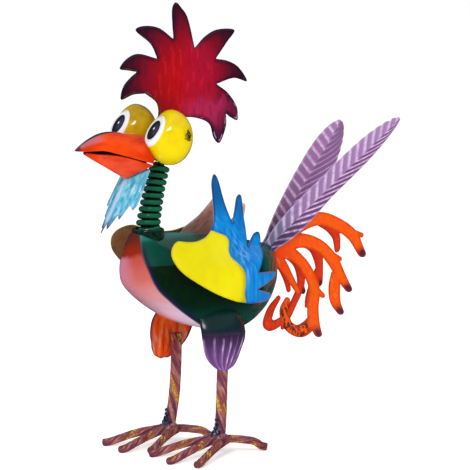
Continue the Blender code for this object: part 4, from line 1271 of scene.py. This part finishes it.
def beard():
    """Sheet folded on the keel line, with ragged tips, below the rear edge of the lower jaw."""
    tips = ((0, 54), (2.5, 44), (6.5, 52), (12.5, 40), (17, 47), (22.5, 35), (29.5, 43.5), (33, 40))
    half = [*tips, (32.5, 28), (28.5, 4), (27.5, 0)]
    loop = np.array(half + [(-a, b) for a, b in half[:0:-1]])
    loop = loop[::-1] * (1, -1)
    flat, faces, rim = fill([loop], 1.6)
    keel = np.array((0, *KEEL_LINE[-1]))
    fold = np.array((20, 18, 13.4)) / math.hypot(20, 18, 13.4)
    down = np.array((0, -0.511, -0.86))
    soft = 2.0
    wave = 0.35 * np.sin(flat[:, 0] * 1.25) * ease(-flat[:, 1] / 20)
    points = []
    for (a, b), ripple in zip(flat, wave):
        reach = math.hypot(a, soft) - soft
        points.append(keel + (fold[0] * a, fold[1] * reach - ripple, fold[2] * reach)
                      + down * (SHEET + 2 * GAP - b))
    wall = thicken(points, faces, {"rim": rim, "drop": -flat[:, 1], "across": flat[:, 0]})
    sheet = mesh_object("painted_beard", *wall, beard_finish())
    ready(soften(sheet), "blue_enamel", "beard")


def comb():
    """Spiked comb, pressed so that its spikes are a little domed with their edges bent back."""
    low = STEM_TOP + GAP
    middle = EYE_CENTRE[0]
    loop = outline(
        [(0, 376), (12, 386), (27, 391.5), (47, 389.5), (38, 378.5)],
        [(25, 364), (39, 361), (52, 354), (62, 340), (46, 344)],
        [(26, 340), (40, 330), (50, 316), (49.5, 304.5), (42, 307)],
        [(37, 311), (35, 298), (28, 284.5), (21, 290), (15, 304), (-6, 311), (-30, 309)],
        [(middle + 4, low)], [(middle - 4, low)],
        [(middle - 3.5, low + 5), (-44, 314), (-45, 327)],
        [(-58, 337), (-72, 337), (-86, 333.5), (-84, 345), (-76, 353)],
        [(-68, 358), (-78, 360), (-87.5, 362.5), (-80, 371), (-66, 375)],
        [(-44, 369), (-52, 383), (-69, 396.5), (-60, 400.5), (-42, 397.5)],
        [(-25, 386), (-26.5, 401), (-26.5, 415), (-22, 420), (-16, 415), (-8, 404)])
    flat, faces, rim = fill([loop], 1.8)
    foot = ease((flat[:, 1] - low) / 12)
    back = 2.0 * (1 - np.sqrt(1 - (1 - np.clip(rim / 5.0, 0, 1)) ** 2)) * foot
    hub = np.hypot((flat[:, 0] + 16) / 47, (flat[:, 1] - 346) / 50)
    points = [(SHEET / 2 - b, y, z) for (y, z), b in zip(flat, back)]
    sheet = mesh_object("painted_comb", *thicken(points, faces, {"rim": rim, "hub": hub}), comb_finish())
    ready(soften(sheet), "red_enamel", "comb")


# Wings

WING_WALL = SHEET / 0.84
WING_PIVOT = np.array((0, 180))
ROOT_EDGE = [(-14, 190), (-6, 198)]
FRONT_FEATHER = {
    "left": [(3, 205), (12, 214), (17, 230), (17, 248), (20, 255.5), (25, 249), (31, 229)],
    "right": [(0, 205), (11, 215.5), (20, 228.5), (28, 237.5), (29, 231), (26, 221)],
}
REAR_FEATHERS = (
    [(36, 209), (43, 220), (47, 232), (52.5, 231), (53, 207)],
    [(47, 186.5), (62, 196.5), (70, 195.5), (64, 181)],
    [(49, 163.5), (77, 160), (74, 154)],
    [(48.5, 147), (69, 140.5), (70, 136), (60, 133.5), (32, 135.5), (8, 146), (-12, 160)],
)
COVER_EDGE = (
    [(3, 206), (12, 202.5)],
    [(20, 199), (21, 194), (17, 187), (16.5, 181), (22, 175), (27, 168), (28, 156), (27, 146)],
    [(30, 137), (15, 140), (-11, 150), (-35, 162), (-55, 175), (-63, 187), (-61, 196),
     (-50, 202), (-35, 200), (-22, 199), (-8, 201)],
)
WING_TURN = {"left": 0, "right": math.radians(-10)}
COVER_MOVE = {"left": (0, 0), "right": (-6, 0)}
WING_ROOT = np.array((14, 178))


def turned(stretches, side, move=(0, 0)):
    """Stretches of an outline turned about the wing's pivot, because the two wings sit unevenly."""
    c, s = math.cos(WING_TURN[side]), math.sin(WING_TURN[side])
    turn = np.array(((c, s), (-s, c)))
    return [[tuple((np.array(p) - WING_PIVOT) @ turn + WING_PIVOT + move) for p in stretch]
            for stretch in stretches]


def wing_x(y, z):
    """Outer surface of a feather sheet over a point of the side view, off the shell."""
    fall = min(175 - z, 22)
    base = 33.75 + 0.55 * fall - (0.55 * fall ** 2 / 44 if fall > 0 else 0)
    ahead = 0.15 * (math.hypot(y, 15) - y)
    behind = 0.15 * (math.hypot(y - 20, 15) + y - 20)
    least = 2.5
    x = least + 3 * math.log1p(math.exp((base + ahead - behind - least) / 3))
    rest = shell_x(y, z) + WING_WALL + 4 * GAP
    blend = 1.5
    return x + blend * math.log1p(math.exp((rest - x) / blend)) if rest > 0 else x


def wing_sheet(name, loop, layer, material, slot, side, crown):
    flat, faces, rim = fill([loop], 2.2)
    lift = crown * (np.sqrt(1 - (1 - np.clip(rim / 5.5, 0, 1)) ** 2))
    points = [(wing_x(y, z) + layer * (WING_WALL + GAP * 3) + up, y, z) for (y, z), up in zip(flat, lift)]
    notes = {"rim": rim, "root": np.linalg.norm(flat - WING_ROOT, axis=1)}
    sheet = mesh_object(f"painted_{name}_{side}", *thicken(points, faces, notes), material, side == "right")
    ready(soften(sheet), slot, f"{name}_{side}")


def wing(side):
    front, *rear = turned((ROOT_EDGE, *REAR_FEATHERS), side)
    feathers = outline(front, FRONT_FEATHER[side], *rear)
    cover = outline(*turned(COVER_EDGE, side, COVER_MOVE[side]))
    wing_sheet("wing_feathers", feathers, 0, wing_finish(side), "blue_enamel", side, 0.0)
    wing_sheet("wing_cover", cover, 1, cover_finish(side), "yellow_enamel", side, 0.5)


# Tail

def tail_feather(side):
    """Pointed feather pressed with slanting barbs, closer together and more slanted on its rear half."""
    base = np.array(FEATHER_BASE, float)
    tip = np.array(FEATHER_TIPS[side], float)
    length = np.linalg.norm(tip - base)
    way = (tip - base) / length
    over = np.array((-way[1], way[0]))
    slot = GAP / 2 + 2 * SHEET + GAP
    shape = np.array(FEATHER_SHAPE)
    bent = spline(shape, 6)
    starts = np.linspace(0, 1, 300)
    widths = np.linspace(-1, 1, 41)
    points, notes = [], {"ridge": [], "across": [], "reach": [], "rim": []}
    for start in starts:
        half = np.interp(start, bent[:, 0], bent[:, 1])
        for width in widths:
            slant = BARB_SLANTS[side][0 if width > 0 else 1]
            share = min(start + slant * abs(width) * half / length, 1)
            reach = width * np.interp(share, bent[:, 0], bent[:, 1])
            free = ease((share - 0.15) / 0.4)
            roll = FEATHER_ROLL * free
            fold = (math.hypot(reach, 0.8) - 0.8) * math.tan(FEATHER_FOLD) * free
            phase = start * length / (BARB_PITCH if width > 0 else REAR_BARB_PITCH)
            wave = math.cos(phase * math.tau)
            ridge = max(wave, -0.6) if width > 0 else wave
            settle = ease((1 - abs(width)) / 0.12) * ease(abs(width) / 0.10) * ease((1 - share) / 0.03)
            depth = BARB_DEPTH * (1.1 if width > 0 else 0.8) * ridge * settle * (0.35 + 0.65 * free)
            out = FEATHER_SPREAD * max(0, (share - 0.1) / 0.9)
            y, z = base + way * share * length + over * (reach * math.cos(roll))
            points.append((slot + out + reach * math.sin(roll) - fold + depth, y, z))
            notes["ridge"].append(ridge)
            notes["across"].append(width)
            notes["reach"].append(share)
            notes["rim"].append((1 - abs(width)) * half)
    faces = grid_faces(len(starts), len(widths))
    wall = thicken(points, faces, {key: np.array(values) for key, values in notes.items()})
    feather = mesh_object(f"painted_tail_feather_{side}", *wall, feather_finish(side), side == "right")
    ready(feather, "lilac_enamel", f"tail_feather_{side}")


FRONDS = (
    [(82, 168, 9), (100, 181, 14), (118, 196, 14), (142, 203, 13), (164, 195, 12), (179, 183, 11),
     (186, 167, 8)],
    [(172, 190, 6), (187, 184, 5)],
    [(82, 168, 10), (104, 179, 15), (124, 183, 14), (144, 176, 12), (156, 162, 12), (162, 147, 10),
     (167, 135, 7)],
    [(152, 170, 6), (163, 163, 5)],
    [(158, 150, 9), (154, 137, 11), (152, 124, 10), (154, 115, 7)],
    [(84, 164, 11), (106, 173, 13), (122, 164, 11), (131, 150, 11), (134, 136, 11), (129, 120, 11),
     (126, 107, 11), (126, 97, 8)],
    [(131, 143, 6), (141, 130, 5)],
    [(127, 110, 9), (116, 102, 11), (106, 100, 11), (98, 106, 11), (98, 118, 10), (104, 128, 6)],
    [(86, 168, 10), (100, 164, 11), (109, 151, 8), (117, 135, 5)],
)
SCORCHED = {"left": (0, 2, 4, 5), "right": (2, 6)}
HOOK = (104, 108)


def plume_x(y, z):
    """Outer surface of the left plume over a point of the side view."""
    far = max(0, math.hypot(y - TAIL_ROOT[0], z - TAIL_ROOT[1]) - TAIL_ROOT_REACH) / 100
    down = float(np.clip((178 - z) / 83, 0, 1))
    return GAP / 2 + SHEET + (18 + 25 * down) * far ** 1.5


def tail_plume(side):
    flat, faces, rim = fill([stroke(frond) for frond in FRONDS], 1.7)
    crown = 0.9 * ease(rim / 4.5) * ease((np.hypot(*(flat - TAIL_ROOT).T) - 20) / 15)
    points = [(plume_x(y, z) + up, y, z) for (y, z), up in zip(flat, crown)]
    tips = np.array([FRONDS[k][-1][:2] for k in SCORCHED[side]])
    tip = np.min(np.linalg.norm(flat[:, None] - tips[None], axis=2), axis=1)
    hook = ease((21 - np.linalg.norm(flat - HOOK, axis=1)) / 8) * (1.0 if side == "left" else 0.3)
    notes = {"rim": rim, "tip": tip, "hook": hook, "root": np.hypot(*(flat - TAIL_ROOT).T)}
    sheet = mesh_object(f"painted_tail_plume_{side}", *thicken(points, faces, notes), plume_finish(side),
                        side == "right")
    ready(soften(sheet), "orange_enamel", f"tail_plume_{side}")


# Legs and feet

def leg_points(side, steps):
    x, y = ANKLES[side]
    sign = math.copysign(1, x)
    line = [(x, y, 5), (x, y, 14)] + [(sign * lx, y + ly, lz) for ly, lz, lx in LEG_LINES[side]]
    return spline(line, steps)


def forged_rod(node, line, diameter, seed):
    """Round rod beaten by hand, with notes along and around it for the streaks of its paint."""
    source = wire_object(f"painted_{node}", line)
    tree = Tree("forged_rod", Radius=diameter / 2 * MM, Step=ROD_STEP * MM,
                Beaten=diameter * BEATEN * MM, Seed=seed)
    run = tree.node("GeometryNodeResampleCurve", {"mode": "LENGTH"},
                    {"Curve": tree.inputs["Geometry"], "Length": tree.inputs["Step"]})
    length = tree.node("GeometryNodeSplineParameter", out="Length")
    share = tree.node("GeometryNodeSplineParameter", out="Factor")
    run = tree.keep(run, "run", tree.maths("DIVIDE", length, MM))
    run = tree.keep(run, "span", share)
    around = tree.node("GeometryNodeSplineParameter", out="Factor")
    ring = tree.keep(tree.circle(ROD_SIDES, tree.inputs["Radius"]), "round", around)
    depth = tree.maths("MULTIPLY", tree.inputs["Beaten"], 2.0)
    rod = tree.beaten(tree.sweep(run, ring), 1 / (diameter * 0.75 * MM), 0.55, depth)
    middle = tree.maths("ABSOLUTE", tree.maths("SUBTRACT", tree.stored("span"), 0.5))
    rod = tree.keep(rod, "end", tree.maths("GREATER_THAN", middle, 0.4985))
    thing = tree.grow(source, rod, ROD_PAINT)
    thing.data.set_sharp_from_angle(angle=math.radians(50))
    ready(soften(thing, ROD_ROUNDING), "brown_enamel", node)


def thigh(side, envelope):
    """Open tulip cup outside the top of a leg, fluted below, trimmed against the shell."""
    line = leg_points(side, 8)
    levels = along(spline(THIGH_LEVELS, 8), np.linspace(0, 1, 50))
    columns = 81
    points, flutes, rims = [], [], []
    for z, half, edge, crown in levels:
        low, high = THIGH_LINES[side][1], THIGH_LINES[side][0]
        middle = low + (high - low) * ease((z - 74) / 40)
        rod = np.interp(z, line[:, 2], abs(line[:, 0])) + LEG_ROD / 2
        if z < line[-1, 2] + LEG_ROD:
            crown = max(crown, rod + SHEET + FLUTE_DEPTH + 4 * GAP)
        flute = FLUTE_DEPTH * ease((114 - z) / 14) * min(1, half / 18)
        for c in range(columns):
            across = 2 * c / (columns - 1) - 1
            swell = (1 - across ** 2) ** 0.7
            wave = math.cos(across * FLUTES * math.pi)
            points.append((edge + (crown - edge) * swell + flute / 2 * wave, middle + across * half, z))
            flutes.append(wave)
            rims.append(min((1 - abs(across)) * half, (z - 77) * 1.0 + 0.2))
    faces = grid_faces(len(levels), columns)
    wall = thicken(points, faces, {"flute": np.array(flutes), "rim": np.array(rims)})
    cup = mesh_object(f"painted_thigh_{side}", *wall, thigh_finish(side), side == "right")
    ready(soften(trimmed(cup, [envelope])), "lilac_enamel", f"thigh_{side}")


def weld(name, origin, axes, beads, material, seed):
    """Run of weld metal: beads of (ahead, across, up, size) from an origin, melted a little out of round."""
    beads = np.array(beads, float)
    spots = origin + beads[:, :3] @ np.array(axes)
    source = mesh_object(name, spots, [], {"bead": beads[:, 3]}, material)
    tree = Tree("weld_run", Seed=seed, Size=MM)
    ball = tree.node("GeometryNodeMeshIcoSphere", (), {"Radius": 1.0, "Subdivisions": 4})
    turn = tree.node("FunctionNodeRandomValue", {"data_type": "FLOAT_VECTOR"},
                     {1: WELD_TURN, "Seed": int(seed)})
    lumps = tree.node("GeometryNodeInstanceOnPoints", (), {
        "Points": tree.inputs["Geometry"], "Instance": ball, "Rotation": turn,
        "Scale": tree.maths("MULTIPLY", tree.stored("bead"), tree.inputs["Size"])})
    solid = tree.node("GeometryNodeRealizeInstances", (), {0: lumps})
    ready(tree.grow(source, tree.beaten(solid, WELD_GRAIN, 0.5, WELD_DEPTH * MM), material), "brown_enamel")


def foot(side, number):
    """Two toes side by side at the front of the ankle and one bent rod for outer and back toe."""
    ahead = np.array((math.sin(FOOT_TURN), -math.cos(FOOT_TURN), 0))
    across = np.array((math.cos(FOOT_TURN), math.sin(FOOT_TURN), 0))
    ankle = np.array((*ANKLES[side], 0.0))
    radius = TOE_ROD / 2
    start = ahead * (LEG_ROD / 2 + 3 * GAP) + np.array((0, 0, ANKLE_RISE))
    pitch = TOE_ROD + 3 * GAP
    floor = np.array((0, 0, radius * math.cos(math.pi / 6)))
    tips = {name: np.array((*spot, 0)) * FOOT_SIZE[side] + floor for name, spot in TOE_TIPS.items()}
    tips["outer"][:2] *= OUTER_REACH[side]

    def run(root, tip):
        flat = tip + (root - tip) * (1, 1, 0) * 0.12 + (0, 0, 0.5)
        return [root, root + ahead * 7, root + (flat - root) * 0.5 + (0, 0, 1.6), flat, tip]

    def toe(name, route, seed):
        forged_rod(f"toe_{name}_{side}", spline(route, 10) + ankle, TOE_ROD, seed)

    toe("inner", run(start - across * pitch / 2, tips["inner"]), number + 1)
    toe("middle", run(start + across * pitch / 2, tips["middle"]), number + 2)
    fork = start + across * pitch * 1.5
    outer, back = tips["outer"], tips["back"]
    flat = outer + (fork - outer) * (1, 1, 0) * 0.12 + (0, 0, 0.5)
    heel = back + (fork - back) * (1, 1, 0) * 0.14 + (0, 0, 1.6)
    toe("outer_back", [outer, flat, fork + (flat - fork) * 0.5 + (0, 0, 1.6), fork,
                       fork - ahead * 8, fork * 0.35 + back * 0.65 + (0, 0, 3.4), heel, back], number + 3)
    axes = (ahead, across, (0, 0, 1))
    shin = ankle + ahead * (LEG_ROD / 2 + 0.5)
    crotch = ankle + fork - across * (pitch / 2 + 0.6)
    weld(f"ankle_weld_{side}", shin, axes, ANKLE_BEADS, WELD_PAINT, number + 4)
    weld(f"toe_weld_{side}", crotch, axes, TOE_BEADS, JOINT_PAINT, number + 5)


def leg(side, number):
    forged_rod(f"leg_{side}", leg_points(side, 10), LEG_ROD, number)


# Setting

def camera():
    back = Vector((math.sin(CAMERA_AZIMUTH) * math.cos(CAMERA_RISE),
                   -math.cos(CAMERA_AZIMUTH) * math.cos(CAMERA_RISE), math.sin(CAMERA_RISE)))
    lens = bpy.data.cameras.new("camera")
    lens.sensor_width = SENSOR
    lens.lens = PIXELS_PER_MM * 1000 * CAMERA_DISTANCE * SENSOR / PIXELS
    lens.clip_end = 100
    thing = bpy.data.objects.new("camera", lens)
    bpy.context.scene.collection.objects.link(thing)
    thing.location = Vector(np.array(CAMERA_AIM) * MM + PLACE) + back * CAMERA_DISTANCE
    thing.rotation_mode = "QUATERNION"
    thing.rotation_quaternion = (-back).to_track_quat("-Z", "Y")
    bpy.context.scene.camera = thing


def soft_light(name, spot, size, power, mirrored):
    lamp = bpy.data.lights.new(name, "AREA")
    lamp.shape = "RECTANGLE"
    lamp.size, lamp.size_y = size
    lamp.energy = power
    thing = bpy.data.objects.new(name, lamp)
    bpy.context.scene.collection.objects.link(thing)
    thing.visible_glossy = mirrored
    thing.location = spot
    thing.rotation_mode = "QUATERNION"
    thing.rotation_quaternion = (Vector(LIGHT_AIM) - Vector(spot)).to_track_quat("-Z", "Y")


def studio():
    world = bpy.data.worlds.new("studio")
    world.use_nodes = True
    nodes, links = world.node_tree.nodes, world.node_tree.links
    spot = nodes.new("ShaderNodeTexCoord")
    axes = nodes.new("ShaderNodeSeparateXYZ")
    mirrored = nodes.new("ShaderNodeMapRange")
    mirrored.interpolation_type = "SMOOTHSTEP"
    for socket, value in zip(mirrored.inputs[1:5], (*SKY_EDGE, *SKY_MIRRORED)):
        socket.default_value = value
    path = nodes.new("ShaderNodeLightPath")
    light = nodes.new("ShaderNodeMix")
    light.inputs[2].default_value = SKY_LIGHT
    links.new(spot.outputs["Generated"], axes.inputs[0])
    links.new(axes.outputs["Z"], mirrored.inputs[0])
    links.new(path.outputs["Is Glossy Ray"], light.inputs[0])
    links.new(mirrored.outputs[0], light.inputs[3])
    links.new(light.outputs[0], nodes["Background"].inputs["Strength"])
    nodes["Background"].inputs["Color"].default_value = (1, 1, 1, 1)
    bpy.context.scene.world = world
    bpy.context.scene.view_settings.view_transform = "Standard"
    mesh = bpy.data.meshes.new("floor")
    corners = [(FLOOR_REACH * x, FLOOR_REACH * y, 0) for x, y in ((-1, -1), (1, -1), (1, 1), (-1, 1))]
    mesh.from_pydata(corners, [], [(0, 1, 2, 3)])
    made = bpy.data.materials.new("pale_floor")
    made.use_nodes = True
    shader = made.node_tree.nodes["Principled BSDF"]
    shader.inputs["Base Color"].default_value = (FLOOR_GREY, FLOOR_GREY, FLOOR_GREY, 1)
    shader.inputs["Roughness"].default_value = FLOOR_ROUGHNESS
    shader.inputs["Emission Color"].default_value = (1, 1, 1, 1)
    shader.inputs["Emission Strength"].default_value = FLOOR_GLOW
    mesh.materials.append(made)
    floor = bpy.data.objects.new("floor", mesh)
    bpy.context.scene.collection.objects.link(floor)
    floor.visible_glossy = False
    for light_set in LIGHTS:
        soft_light(*light_set)


STEM_PAINT = stem_finish()
COIL_PAINT = coil_finish()
ROD_PAINT = rod_finish()
WELD_PAINT = weld_finish()
JOINT_PAINT = joint_finish()

envelope = body_envelope()
eye_guides = [eye_clearance(side) for side in SIDES]
chest_panel()
neck_collar(envelope)
neck_coil()
head_stem()
beak_paint = beak_finish()
beak_upper(eye_guides, beak_paint)
beak_lower(eye_guides, beak_paint)
mouth_shade_sheet(beak_paint)
beard()
comb()
for place, side in enumerate(SIDES):
    body_shell(side)
    eye(side)
    wing(side)
    tail_feather(side)
    tail_plume(side)
    thigh(side, envelope)
    leg(side, 10 + place)
    foot(side, 20 + 10 * place)
for guide in (envelope, *eye_guides):
    bpy.data.objects.remove(guide)
camera()
studio()
